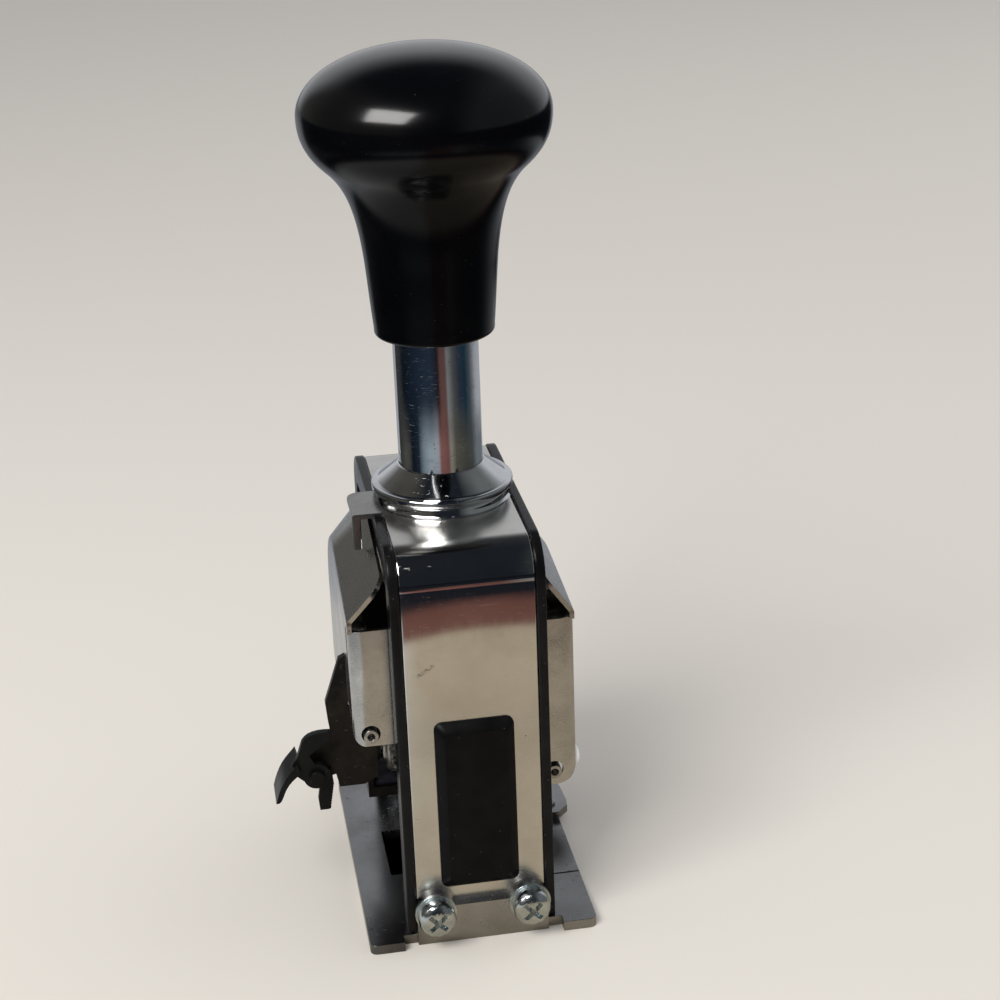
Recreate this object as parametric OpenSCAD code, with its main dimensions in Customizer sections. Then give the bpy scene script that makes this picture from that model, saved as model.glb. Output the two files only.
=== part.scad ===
// Self-inking hand numbering machine: a stand with a sprung plunger, a number head and a swinging ink pad.
// X runs to the right, the front faces -Y, Z is up, and the origin is the middle of the base underside.

/* [Stand] */
// Base plate width across X
base_w = 44; // [44:0.5:48]
// Overhang of the base plate beyond the strap at the front and the rear
base_end = 3.2; // [3:0.2:9]
// Base plate sheet
base_t = 2; // [1.8:0.1:2.2]
// Width of the bright bent strap
strap_w = 25; // [24:0.5:25.5]
// Length of the strap over its front and rear faces
strap_l = 58; // [58:0.5:60]
// Height of the flat top of the strap
strap_h = 80; // [78:0.5:82]
// Strap sheet
strap_t = 1.5; // [1.2:0.1:1.8]
// Outer bend radius of the strap shoulders
strap_bend = 7; // [6:0.5:8]
// Width of each black rail seen from the front
rail_w = 1.8; // [1.6:0.1:2]
// Depth of each black rail behind the strap face
rail_d = 5.5; // [4.5:0.5:5.5]
// Guide bush rim diameter
collar_d = 27; // [26:0.5:28]

/* [Plunger] */
// Plunger tube outside diameter
tube_d = 16; // [15.5:0.1:16]
// Working stroke of the plunger
stroke = 22; // [20:0.5:22]
// Largest diameter of the knob
knob_d = 45.8; // [42:0.2:48]
// Diameter of the knob at its lower lip
knob_lip_d = 22.4; // [21:0.2:24]
// Height of the knob
knob_h = 52.6; // [50:0.2:58]

/* [Number head] */
// Number of printing wheels
wheel_count = 6; // [4:1:6]
// Wheel diameter over the type faces
wheel_d = 16; // [15:0.5:16]
// Pitch of the wheels along the axle
wheel_pitch = 4.8; // [4.4:0.1:4.8]
// Width of the number head over its side covers
cover_w = 42.4; // [42.2:0.2:43]
// Cover sheet
cover_t = 0.9; // [0.8:0.1:1]

/* [Hidden] */
run_gap = 0.05;
free_gap = 0.3;
fine = 72;

// stand
rail_proud = 0.3;
rail_in = strap_w / 2;
rail_out = rail_in + rail_w;
front_y = -strap_l / 2;
base_l = strap_l + 2 * base_end;
tab_t = 1.8;
tab_w = 25.4;
tab_h = 8;
notch_w = 2.7;
screw_x = 9.1;
screw_z = 7;
screw_d = 4;
screw_head_d = 7.2;
screw_head_h = 2.4;
flat_washer_d = 8;
flat_washer_t = 0.8;
spring_washer_d = 7;
spring_washer_t = 1;
nut_w = 6.6;
nut_t = 2.6;
ear_r = 3.9;
window_x = 30.4;
window_y = 17;
step_r = 12.2;
step_h = 1.7;
plate_w = 15;
plate_bottom = 11.3;
plate_top = 46.4;
plate_proud = 1.8;
plate_bevel = 1.6;
plate_boss = 1.1;

// guide bush and plunger
tube_r = tube_d / 2;
tube_wall = 1.2;
tube_in_r = tube_r - tube_wall;
bush_in_r = tube_r + run_gap;
bush_out_r = bush_in_r + 1.55;
rim_r = collar_d / 2;
rim_bottom = strap_h + step_h + 0.2;
rim_top = rim_bottom + 1.7;
cone_r = 11.6;
cone_top = rim_top + 3.5;
bush_bottom = 60.6;
nut_ring_r = 12;
nut_ring_h = 2.5;
wheel_r = wheel_d / 2;
axle_z = stroke + wheel_r;
deck_z = 55;
deck_t = 2;
tube_bottom = deck_z + deck_t;
foot_r = 10.5;
foot_t = 1.5;
foot_rivet_at = 9.3;
pin_r = 1.5;
pin_z = 63.2;
seat_t = 1.2;
seat_z = pin_z + pin_r;
knob_bottom = 112.6;
tube_top = knob_bottom + 12;
plug_h = 6;
stud_r = 2.5;
stud_h = 12;
spring_mean_r = 5.2;
spring_wire_r = 0.65;
spring_turns = 13;
ring_sides = 6;
rings_per_turn = 8;
spring_z0 = seat_z + seat_t;
spring_z1 = tube_top - plug_h;

// number head
rocker_at = 62;
pack_half = wheel_count * wheel_pitch / 2;
axle_r = 2;
cheek_t = 1.2;
cheek_in = 15.6;
cheek_out = cheek_in + cheek_t;
cheek_half_y = 12;
cheek_foot_r = 5.5;
arm_in = cheek_out + free_gap;
arm_t = 1.2;
arm_out = arm_in + arm_t;
clip_t = 0.7;
type_h = 0.5;
face_w = 3.2;
finger_w = 0.7;
finger_back = 1.15;
wheel_gap = 0.3;
pad_t = 2.2;
pad_half_y = 4.6;
tray_t = 0.9;
tray_wall = 0.8;
pad_top = wheel_r + free_gap;
left_out = cover_w / 2 + 0.5;
right_out = cover_w / 2 - 0.5;
left_in = left_out - cover_t;
right_in = right_out - cover_t;
cover_front = -22.5;
cover_corner = 2.2;
roof_y = 3;
roof_r = 15;
roof_inner = 14.9;
flange_inner = 13.6;
left_tilt = 12;
right_tilt = 5;
left_rise = 7.2;
right_rise = 8.2;
left_roof_z = strap_h - 24.4;
right_roof_z = strap_h - 29.6;
left_flange_top = left_roof_z + 7.8;
right_flange_top = right_roof_z + 11.5;
left_flange_low = left_roof_z - 16;
right_flange_low = right_roof_z - 23.5;
fold_step = 20;
folds = 5;
fold_r = roof_r / cos(fold_step / 2);
bracket_y = -13.6;
bracket_t = 1.4;
post_r = 2.2;
stop_pin_r = 1.4;
flange_hole_r = 1.8;
left_pin_x = -18.5;
left_pin_z = left_flange_low + 2.2;
hole_over_pin = 0.3;
ear_in = 13.8;
ear_out = right_in - 0.4;
button_y = -18.7;
button_z = 32.3;
button_r = 0.9;
right_pin_x = 16.1;
right_pin_z = right_flange_low + 2.9;
lever_x = -28.8;
lever_z = 31;
lever_y = -16.4;
lever_t = 1.4;
tang_y = -14.7;
tang_t = 1.1;
rivet_r = 0.9;
lobe_r = 2.6;

// ---------- shared shapes ----------

module along_x(x0, x1) {
    translate([x0, 0, 0]) rotate([90, 0, 90]) linear_extrude(x1 - x0) children();
}

module along_y(y0, y1) {
    translate([0, y1, 0]) rotate([90, 0, 0]) linear_extrude(y1 - y0) children();
}

module rod_x(x0, x1, r) {
    translate([x0, 0, 0]) rotate([0, 90, 0]) cylinder(h = x1 - x0, r = r, $fn = 48);
}

module rod_y(y0, y1, r) {
    translate([0, y1, 0]) rotate([90, 0, 0]) cylinder(h = y1 - y0, r = r, $fn = 48);
}

module both_ends() {
    children();
    mirror([0, 1, 0]) children();
}

module both_sides() {
    children();
    mirror([1, 0, 0]) children();
}

module rounded_rect(w, h, r) {
    square([w - 2 * r, h], center = true);
    square([w, h - 2 * r], center = true);
    for (sx = [-1, 1], sy = [-1, 1])
        translate([sx * (w / 2 - r), sy * (h / 2 - r)]) circle(r = r, $fn = 48);
}

// ---------- stand ----------

module tab_outline() {
    translate([-tab_w / 2, 0]) square([tab_w, tab_h - 0.6]);
    translate([-screw_x, 0]) square([2 * screw_x, tab_h]);
    for (s = [-1, 1])
        translate([s * screw_x, screw_z]) circle(r = ear_r, $fn = 64);
}

module base_plate() {
    tongue_x = tab_w / 2 + notch_w;
    fold = base_l / 2 + front_y - tab_t;
    color("silver") difference() {
        union() {
            difference() {
                linear_extrude(base_t) rounded_rect(base_w, base_l, 1.4);
                both_ends() translate([-tongue_x, -base_l / 2 - 1, -1])
                    cube([2 * tongue_x, fold + 1, base_t + 2]);
            }
            both_ends() along_y(front_y - tab_t, front_y) tab_outline();
        }
        translate([-window_x / 2, -window_y / 2, -1]) cube([window_x, window_y, base_t + 2]);
        both_ends() both_sides() translate([tab_w / 2, -base_l / 2, -1])
            cube([notch_w, fold + 0.9, base_t + 2]);
        both_ends() both_sides() translate([screw_x, 0, screw_z])
            rod_y(front_y - tab_t - 1, front_y + 1, screw_d / 2);
        translate([16, -15.4, base_t - 0.15]) cube([base_w, 0.4, 1]);
    }
}

module arch_outline(out, bend, low) {
    l = strap_l + 2 * out;
    h = strap_h + out;
    translate([-l / 2, low]) square([l, h - low - bend]);
    translate([-l / 2 + bend, low]) square([l - 2 * bend, h - low]);
    for (s = [-1, 1])
        translate([s * (l / 2 - bend), h - bend]) circle(r = bend, $fn = fine);
}

module frame_strap() {
    color("gainsboro") difference() {
        union() {
            along_x(-strap_w / 2, strap_w / 2) difference() {
                arch_outline(0, strap_bend, base_t);
                arch_outline(-strap_t, strap_bend - strap_t, base_t - 1);
            }
            translate([0, 0, strap_h - 0.5]) cylinder(h = step_h + 0.5, r = step_r, $fn = 96);
        }
        translate([0, 0, strap_h - 5]) cylinder(h = 12, r = bush_out_r, $fn = 96);
        translate([-plate_w / 2 + plate_boss, front_y - 1, plate_bottom + plate_boss])
            cube([plate_w - 2 * plate_boss, strap_t + 2, plate_top - plate_bottom - 2 * plate_boss]);
        both_ends() both_sides() translate([screw_x, 0, screw_z])
            rod_y(front_y - 1, front_y + strap_t + 1, screw_d / 2);
    }
}

module rail(x0) {
    along_x(x0, x0 + rail_w) difference() {
        arch_outline(rail_proud, strap_bend + rail_proud, base_t);
        arch_outline(rail_proud - rail_d, strap_bend - rail_d + rail_proud, base_t - 1);
    }
}

module left_rail() {
    color("black") rail(-rail_out);
}

module right_rail() {
    color("black") rail(rail_in);
}

module name_plate() {
    h = plate_top - plate_bottom;
    mid = (plate_top + plate_bottom) / 2;
    boss_w = plate_w - 2 * plate_boss;
    boss_h = h - 2 * plate_boss;
    color("black") union() {
        intersection() {
            translate([0, 0, mid]) along_y(front_y - plate_proud, front_y) rounded_rect(plate_w, h, 1.8);
            translate([0, 0, plate_bottom - 1]) linear_extrude(h + 2) polygon([
                [-plate_w / 2, front_y], [-plate_w / 2, front_y - 0.5],
                [-plate_w / 2 + plate_bevel, front_y - plate_proud],
                [plate_w / 2 - plate_bevel, front_y - plate_proud],
                [plate_w / 2, front_y - 0.5], [plate_w / 2, front_y]]);
            along_x(-plate_w, plate_w) polygon([
                [front_y, plate_bottom], [front_y - 0.5, plate_bottom],
                [front_y - plate_proud, plate_bottom + plate_bevel],
                [front_y - plate_proud, plate_top - plate_bevel],
                [front_y - 0.5, plate_top], [front_y, plate_top]]);
        }
        translate([-boss_w / 2 + run_gap, front_y - 0.2, mid - boss_h / 2 + run_gap])
            cube([boss_w - 2 * run_gap, strap_t + 0.2, boss_h - 2 * run_gap]);
    }
}

module guide_bush() {
    color("gainsboro") difference() {
        rotate_extrude($fn = 96) polygon([
            [bush_in_r, bush_bottom], [bush_out_r, bush_bottom], [bush_out_r, strap_h + step_h],
            [rim_r - 1.6, strap_h + step_h], [rim_r - 1.6, rim_bottom],
            [rim_r - 0.3, rim_bottom], [rim_r, rim_bottom + 0.3], [rim_r, rim_top - 0.3],
            [rim_r - 0.3, rim_top], [cone_r, rim_top + 0.15], [cone_r - 0.5, rim_top + 0.5],
            [bush_in_r + 0.5, cone_top - 0.2], [bush_in_r, cone_top]]);
        translate([0, 0, pin_z]) rod_x(-rim_r, rim_r, pin_r);
    }
}

module bush_nut() {
    color("silver") translate([0, 0, strap_h - strap_t - nut_ring_h]) difference() {
        cylinder(h = nut_ring_h, r = nut_ring_r, $fn = 8);
        translate([0, 0, -1]) cylinder(h = nut_ring_h + 2, r = bush_out_r, $fn = 96);
    }
}

module pan_screw() {
    head_y = front_y - tab_t - flat_washer_t - spring_washer_t;
    difference() {
        union() {
            translate([0, head_y, 0]) rotate([90, 0, 0]) rotate_extrude($fn = 48) polygon([
                [0, 0], [screw_head_d / 2, 0], [screw_head_d / 2, 0.9], [3.3, 1.6],
                [2.5, 2.15], [1.4, screw_head_h], [0, screw_head_h]]);
            rod_y(head_y, front_y + strap_t + nut_t + 1, screw_d / 2);
        }
        for (a = [45, 135]) rotate([0, a, 0]) translate([-2.2, head_y - screw_head_h - 1, -0.45])
            cube([4.4, 2.5, 0.9]);
    }
}

module at_screws() {
    both_ends() for (s = [-1, 1]) translate([s * screw_x, 0, screw_z]) children();
}

module frame_screws() {
    color("lightsteelblue") at_screws() pan_screw();
}

module flat_washers() {
    y1 = front_y - tab_t;
    color("silver") at_screws() difference() {
        rod_y(y1 - flat_washer_t, y1, flat_washer_d / 2);
        rod_y(y1 - flat_washer_t - 1, y1 + 1, screw_d / 2);
    }
}

module spring_washers() {
    y1 = front_y - tab_t - flat_washer_t;
    color("silver") at_screws() difference() {
        rod_y(y1 - spring_washer_t, y1, spring_washer_d / 2);
        rod_y(y1 - spring_washer_t - 1, y1 + 1, screw_d / 2);
        rotate([0, -60, 0]) translate([0, y1 - spring_washer_t - 1, -0.35]) cube([6, 3, 0.7]);
    }
}

module frame_nuts() {
    y0 = front_y + strap_t;
    color("silver") at_screws() difference() {
        translate([-nut_w / 2, y0, -nut_w / 2]) cube([nut_w, nut_t, nut_w]);
        rod_y(y0 - 1, y0 + nut_t + 1, screw_d / 2);
    }
}

module hook_clip() {
    top = strap_h + rail_proud;
    t = 1;
    front = -10;
    back = 1.6;
    x0 = -18.4;
    color("gainsboro") union() {
        translate([0, 0, top]) linear_extrude(t) {
            translate([x0, front]) square([-rail_in - x0, back - front - 2.4]);
            translate([x0 + 2.4, front]) square([-rail_in - x0 - 2.4, back - front]);
            translate([x0 + 2.4, back - 2.4]) circle(r = 2.4, $fn = 48);
        }
        translate([x0, front, top - 6]) cube([1.6, t, 6 + t]);
    }
}

module spring_anchor_pin() {
    color("dimgray") translate([0, 0, pin_z]) rod_x(-bush_out_r, bush_out_r, pin_r);
}

module spring_seat() {
    color("dimgray") translate([0, 0, seat_z]) cylinder(h = seat_t, r = tube_in_r - 0.15, $fn = fine);
}

module side_gauge() {
    t = 1.6;
    color("silver") translate([0, 0, base_t]) linear_extrude(t) difference() {
        polygon([[18.8, 5.2], [22, 5.2], [24.2, 7.6], [24.5, 10], [24, 18.8], [18.8, 19.6]]);
        for (y = [9, 16]) translate([20.6, y]) circle(r = rivet_r, $fn = 32);
    }
}

module gauge_rivets() {
    t = 1.6;
    color("silver") for (y = [9, 16]) translate([20.6, y, base_t]) {
        cylinder(h = t, r = rivet_r, $fn = 32);
        translate([0, 0, t]) cylinder(h = 0.5, r = 1.3, $fn = 32);
    }
}

// ---------- plunger ----------

function bezier(a, b, c, d, t) =
    pow(1 - t, 3) * a + 3 * t * pow(1 - t, 2) * b + 3 * t * t * (1 - t) * c + pow(t, 3) * d;
function curve(a, b, c, d, n) = [for (i = [1:n]) bezier(a, b, c, d, i / n)];

module knob() {
    lip = knob_lip_d / 2;
    wide = knob_d / 2;
    waist = [lip + 1.1, 0.274 * knob_h];
    shoulder = [0.805 * wide, 0.594 * knob_h];
    belt = [wide, 0.772 * knob_h];
    crown = [0, knob_h];
    color([0.03, 0.03, 0.04]) translate([0, 0, knob_bottom]) difference() {
        rotate_extrude($fn = 96) polygon(concat(
            [[0, 0], [lip - 0.8, 0], [lip - 0.25, 0.2], [lip, 0.8]],
            curve([lip, 0.8], [lip + 0.4, 5], [lip + 0.7, 10], waist, 4),
            curve(waist, waist + [0.8, 7.5], shoulder - [4, 3.6], shoulder, 10),
            curve(shoulder, shoulder + [3.0, 2.7], belt - [0, 4], belt, 8),
            curve(belt, belt + [0, 6.4], crown + [wide * 0.61, 0], crown, 14)));
        translate([0, 0, -1]) cylinder(h = tube_top - knob_bottom + 1, r = tube_r, $fn = 96);
        translate([0, 0, 1]) cylinder(h = tube_top - knob_bottom + stud_h - 1, r = stud_r, $fn = 48);
    }
}

module plunger_tube() {
    slot_top = pin_z + stroke + pin_r + 0.2;
    color("gainsboro") difference() {
        union() {
            translate([0, 0, tube_bottom]) cylinder(h = tube_top - tube_bottom, r = tube_r, $fn = 96);
            translate([0, 0, tube_bottom]) cylinder(h = foot_t, r = foot_r, $fn = 96);
        }
        translate([0, 0, tube_bottom - 1]) cylinder(h = tube_top, r = tube_in_r, $fn = 96);
        for (z = [pin_z, slot_top - pin_r]) translate([0, 0, z]) rod_x(-foot_r, foot_r, pin_r + run_gap);
        translate([-foot_r, -pin_r - run_gap, pin_z])
            cube([2 * foot_r, 2 * (pin_r + run_gap), slot_top - pin_r - pin_z]);
        for (a = [45:90:315]) rotate(a) translate([foot_rivet_at, 0, tube_bottom - 1])
            cylinder(h = 4, r = rivet_r, $fn = 32);
    }
}

module tube_plug() {
    color("dimgray") translate([0, 0, spring_z1]) union() {
        cylinder(h = plug_h, r = tube_in_r, $fn = 96);
        cylinder(h = plug_h + stud_h, r = stud_r, $fn = 48);
    }
}

// one unbroken wire: rings of a small polygon carried round the turns
wire_steps = spring_turns * rings_per_turn;
wire_rise = spring_z1 - spring_z0 - 2 * spring_wire_r - 0.1;
function wire_centre(i) = let (a = 360 * i / rings_per_turn)
    [spring_mean_r * cos(a), spring_mean_r * sin(a),
     spring_z0 + spring_wire_r + 0.05 + wire_rise * i / wire_steps];
function wire_point(i, j) = let (a = 360 * i / rings_per_turn, b = 360 * j / ring_sides)
    wire_centre(i) + spring_wire_r * [cos(b) * cos(a), cos(b) * sin(a), sin(b)];
wire_points = [for (i = [0:wire_steps], j = [0:ring_sides - 1]) wire_point(i, j)];
wire_faces = concat(
    [[for (j = [0:ring_sides - 1]) j]],
    [for (i = [0:wire_steps - 1], j = [0:ring_sides - 1])
        let (k = (j + 1) % ring_sides, p = i * ring_sides)
        [p + j, p + ring_sides + j, p + ring_sides + k, p + k]],
    [[for (j = [ring_sides - 1:-1:0]) wire_steps * ring_sides + j]]);
wire_gap = min([for (i = [0:rings_per_turn], j = [rings_per_turn - 1:rings_per_turn + 1])
    norm(wire_centre(i) - wire_centre(i + j))]) - 2 * spring_wire_r;
echo(least_gap_of_return_spring_mm = wire_gap);

module return_spring() {
    color("dimgray") polyhedron(points = wire_points, faces = wire_faces, convexity = 8);
}

// ---------- number head ----------

module cheek_outline() {
    translate([-cheek_half_y, 43]) square([2 * cheek_half_y, deck_z + deck_t - 43]);
    polygon([[-cheek_half_y, 43.01], [cheek_half_y, 43.01], [cheek_foot_r, axle_z + 1],
        [cheek_foot_r, axle_z], [-cheek_foot_r, axle_z], [-cheek_foot_r, axle_z + 1]]);
    translate([0, axle_z]) circle(r = cheek_foot_r, $fn = 64);
}

module head_yoke() {
    color([0.12, 0.12, 0.12]) difference() {
        union() {
            both_sides() along_x(cheek_in, cheek_out) cheek_outline();
            translate([-cheek_out, -cheek_half_y, deck_z]) cube([2 * cheek_out, 2 * cheek_half_y, deck_t]);
        }
        translate([0, 0, axle_z]) rod_x(-30, 30, axle_r);
        translate([0, -9.6, 46]) rod_x(-30, 30, 1.5);
        for (a = [45:90:315]) rotate(a) translate([foot_rivet_at, 0, deck_z - 1])
            cylinder(h = deck_t + 2, r = rivet_r, $fn = 32);
        for (y = [-9.5, -5.5]) translate([0, y, 51]) rod_x(-30, 0, rivet_r);
        for (y = [-9.5, -5.5]) translate([0, y, 51]) rod_x(0, 30, rivet_r);
    }
}

module foot_rivets() {
    color("dimgray") for (a = [45:90:315]) rotate(a) translate([foot_rivet_at, 0, deck_z - 0.6]) {
        cylinder(h = deck_t + foot_t + 0.6, r = rivet_r, $fn = 32);
        cylinder(h = 0.6, r = 1.5, $fn = 32);
        translate([0, 0, deck_t + foot_t + 0.6]) cylinder(h = 0.5, r = 1.05, $fn = 32);
    }
}

// everything below a sloping roof line that is folded down round the rear in flat steps
module under_roof(s, root, root_b, inner, inner_b) {
    far = 45;
    intersection_for (k = [0:folds]) rotate(-k * fold_step) translate([-far, 0, 0])
        rotate([90, 0, 90]) linear_extrude(2 * far)
            polygon([[-far, s * root], [root_b, s * root], [inner_b, s * inner], [-far, s * inner]]);
}

// the sloping strip of sheet: it starts inside the wall's thickness and rises towards the frame
module cover_roof(s, out, tilt, roof_z, rise) {
    far = 40;
    root = out - cover_t / 3;
    run = root - roof_inner;
    sheet = cover_t * norm([rise, run]) / run;
    top = roof_r - 0.15;
    low = top - sheet;
    top_in = roof_r + rise;
    low_in = top_in - sheet;
    slope = (low_in - low) / run;
    end = fold_step / 2 + folds * fold_step - 90;
    translate([0, roof_y, roof_z]) rotate([tilt, 0, 0]) rotate([0, 90, 0]) rotate(90)
        intersection() {
            difference() {
                under_roof(s, root, top, roof_inner, top_in);
                under_roof(s, root + 1, low - slope, roof_inner - 1, low_in + slope);
            }
            linear_extrude(2 * far, center = true) polygon([[0, 0],
                [far * cos(end), -far * sin(end)], [far, far], [-far, far], [-far, 0]]);
        }
}

// side wall in Y and Z: a rising top line, a round rear top and the given lower edge
module wall_outline(lower_edge, high, tilt, roof_z) {
    lift = roof_r * cos(tilt);
    run = roof_y - roof_r * sin(tilt) - cover_front;
    polygon(concat([[cover_front + cover_corner, high - 0.4], [cover_front, high - 0.4],
        [cover_front, roof_z + lift - run * tan(tilt)]],
        [for (k = [0:folds]) let (a = 90 + tilt - fold_step / 2 - k * fold_step)
            [roof_y + fold_r * cos(a), roof_z + fold_r * sin(a)]],
        lower_edge));
}

// the left wall is arched over the lever bracket, the right one hangs lower and runs level
left_edge = [[18, 42], [17, 39.4], [14.8, 38.4], [12.6, 38.8], [10.2, 42], [6.8, 44.6], [2, 45.6],
    [-9, 45], [-14.4, 44.2], [-18, 42.8], [-20.3, 41.6]];
right_edge = [[18, 37], [16.8, 34.4], [13.6, 33.2], [-14, 29.6], [-17.6, 29], [-20.3, 30.6]];

// the flat flange and its rounded corner, as a strip of sheet seen from above
module flange_section(s, out) {
    c = cover_corner;
    mid = out - c;
    translate([s > 0 ? flange_inner : -mid, cover_front]) square([mid - flange_inner, cover_t]);
    translate([s > 0 ? out - cover_t : -out, cover_front + c]) square([cover_t, 1.2]);
    intersection() {
        difference() {
            translate([s * mid, cover_front + c]) circle(r = c, $fn = 48);
            translate([s * mid, cover_front + c]) circle(r = c - cover_t, $fn = 48);
        }
        translate([s > 0 ? mid : -out, cover_front]) square([c, c]);
    }
}

// the flange seen from the front, with its outer lower corner rounded
module flange_outline(s, out, low, high, corner) {
    w = out - flange_inner + 0.02;
    mirror([s > 0 ? 0 : 1, 0]) translate([flange_inner - 0.01, low]) {
        translate([0, corner]) square([w, high - low - corner]);
        square([w - corner, high - low]);
        translate([w - corner, corner]) circle(r = corner, $fn = 64);
    }
}

module side_cover(s, out, tilt, roof_z, rise, low, high, corner, lower_edge, hole_x, hole_z) {
    in = out - cover_t;
    difference() {
        union() {
            along_x(s > 0 ? in : -out, s > 0 ? out : -in) wall_outline(lower_edge, high, tilt, roof_z);
            intersection() {
                cover_roof(s, out, tilt, roof_z, rise);
                translate([-30, cover_front, roof_z - 20]) cube([60, 60, 60]);
            }
            intersection() {
                translate([0, 0, low]) linear_extrude(high - low) flange_section(s, out);
                along_y(cover_front - 1, 0) flange_outline(s, out, low, high, corner);
            }
        }
        translate([hole_x, 0, hole_z]) rod_y(cover_front - 1, cover_front + 2, flange_hole_r);
    }
}

module left_cover() {
    color("gainsboro") side_cover(-1, left_out, left_tilt, left_roof_z, left_rise, left_flange_low,
        left_flange_top, 2.4, left_edge, left_pin_x, left_pin_z + hole_over_pin);
}

module right_cover() {
    color("gainsboro") difference() {
        side_cover(1, right_out, right_tilt, right_roof_z, right_rise, right_flange_low,
            right_flange_top, 4, right_edge, right_pin_x, right_pin_z + hole_over_pin);
        translate([0, button_y, button_z]) rod_x(right_in - 1, right_out + 1, button_r);
    }
}

module cover_spacers() {
    color("silver") for (y = [2, 9]) translate([0, y, y < 5 ? 54 : 49]) {
        rod_x(-left_in, -cheek_out, post_r);
        rod_x(cheek_out, right_in, post_r);
    }
}

module blade_outline() {
    polygon([[-cheek_out, 28], [-cheek_out, 54], [-18, 54], [-18, 46], [-20.2, 45.6], [-20.2, 43.5],
        [-left_out - 0.05, 43.5], [-left_out - 0.05, 54.6], [-23, 54], [-26.1, 45], [-25.8, 41],
        [-25.5, 38.5], [-27.4, 36.4],
        [-29.4, 35.6], [-30.8, 32.6], [-30.9, 30.4], [-28.6, 28.8], [-25, 29.5], [-24.4, 26.6],
        [-19.6, 26.6]]);
}

module lever_bracket() {
    color([0.1, 0.09, 0.08]) difference() {
        union() {
            along_y(bracket_y, bracket_y + bracket_t) blade_outline();
            translate([-cheek_out - 1.2, bracket_y + 0.01, 44]) cube([1.2, 10.6, 10]);
        }
        translate([left_pin_x, 0, left_pin_z]) rod_y(bracket_y - 1, bracket_y + 3, stop_pin_r);
        translate([lever_x, 0, lever_z]) rod_y(bracket_y - 1, bracket_y + 3, 1);
        for (y = [-9.5, -5.5]) translate([0, y, 51]) rod_x(-30, 0, rivet_r);
    }
}

module right_ear() {
    color([0.1, 0.09, 0.08]) difference() {
        union() {
            along_y(bracket_y, bracket_y + bracket_t)
                polygon([[ear_in, 27], [ear_out, 27], [ear_out, 33], [18, 36], [18, 54], [cheek_out, 54],
                    [cheek_out, 36], [ear_in, 33]]);
            translate([cheek_out, bracket_y + 0.01, 44]) cube([1.2, 10.6, 10]);
        }
        translate([right_pin_x, 0, right_pin_z]) rod_y(bracket_y - 1, bracket_y + 3, stop_pin_r);
        for (y = [-9.5, -5.5]) translate([0, y, 51]) rod_x(0, 30, rivet_r);
    }
}

module bracket_rivets() {
    color("dimgray") both_sides() for (y = [-9.5, -5.5]) translate([0, y, 51]) {
        rod_x(cheek_in, cheek_out + 1.2, rivet_r);
        rod_x(cheek_out + 1.2, cheek_out + 1.7, 1.4);
        rod_x(cheek_in - 0.5, cheek_in, 1.4);
    }
}

module stop_pin(x, z) {
    translate([x, 0, z]) difference() {
        rod_y(cover_front - 0.6, bracket_y + bracket_t, stop_pin_r);
        rod_y(cover_front - 1, cover_front + 1.4, 0.7);
    }
}

module left_stop_pin() {
    color("silver") stop_pin(left_pin_x, left_pin_z);
}

module right_stop_pin() {
    color("silver") stop_pin(right_pin_x, right_pin_z);
}

module nylon_bumper() {
    color("white") translate([0, button_y, button_z]) {
        rod_x(right_in - 0.8, right_out + 0.5, button_r);
        rod_x(right_out, right_out + 0.5, 1.7);
        rod_x(right_in - 0.8, right_in, 1.4);
    }
}

module lever_rivet() {
    color("black") translate([lever_x, 0, lever_z]) {
        rod_y(lever_y - 0.5, bracket_y + bracket_t + 0.4, 1);
        rod_y(lever_y - 1.1, lever_y - 0.3, 1.5);
        rod_y(bracket_y + bracket_t, bracket_y + bracket_t + 0.6, 1.5);
    }
}

module serrated_tongue() {
    color([0.08, 0.08, 0.08]) translate([lever_x, 0, lever_z]) difference() {
        along_y(tang_y, tang_y + tang_t) difference() {
            union() {
                circle(r = 2.3, $fn = 48);
                polygon([[-1.6, -1.6], [2.9, 0.4], [3.2, -3], [2.3, -8.2], [1.9, -8.4], [0.2, -8.4],
                    [0, -6], [0.5, -3]]);
            }
            for (k = [0:7]) translate([3.15 - 0.115 * k, -3.4 - 0.6 * k]) rotate(45)
                square([0.34, 0.34], center = true);
        }
        rod_y(tang_y - 1, tang_y + 3, 1);
    }
}

module lever_outline() {
    circle(r = lobe_r, $fn = 64);
    polygon(concat([[0, 2.2], [-1.2, 4.6], [0.9, 6.1], [3, 7.5], [3.2, 9.2]],
        curve([3.2, 9.2], [0.6, 9.5], [-1.4, 9.2], [-2.4, 7.6], 6),
        curve([-2.4, 7.6], [-3.1, 6], [-3.2, 4.4], [-4.6, 3.0], 6),
        [[-4.6, 1.2], [-2.5, -0.8], [0, -1]]));
}

module lever_thumb() {
    polygon(concat([[-3.6, 3.6]], curve([-3.6, 3.6], [-5.2, 1.6], [-6.8, 0.8], [-8.2, -4.3], 10),
        curve([-8.2, -4.3], [-7.2, -4.6], [-6.9, -3.4], [-6.4, -2.2], 4),
        curve([-6.4, -2.2], [-5.6, -0.3], [-4.4, 0.6], [-3.1, 1.6], 6)));
}

module thumb_lever() {
    color("black") translate([lever_x, 0, lever_z]) difference() {
        union() {
            along_y(lever_y, lever_y + lever_t) lever_outline();
            along_y(lever_y - 1.2, lever_y + 6.4) lever_thumb();
        }
        rod_y(lever_y - 1, lever_y + 3, 1 + run_gap);
    }
}

module wheel_axle() {
    color("silver") translate([0, 0, axle_z]) rod_x(-arm_out - 0.3 - clip_t, arm_out + 0.3 + clip_t, axle_r);
}

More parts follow.
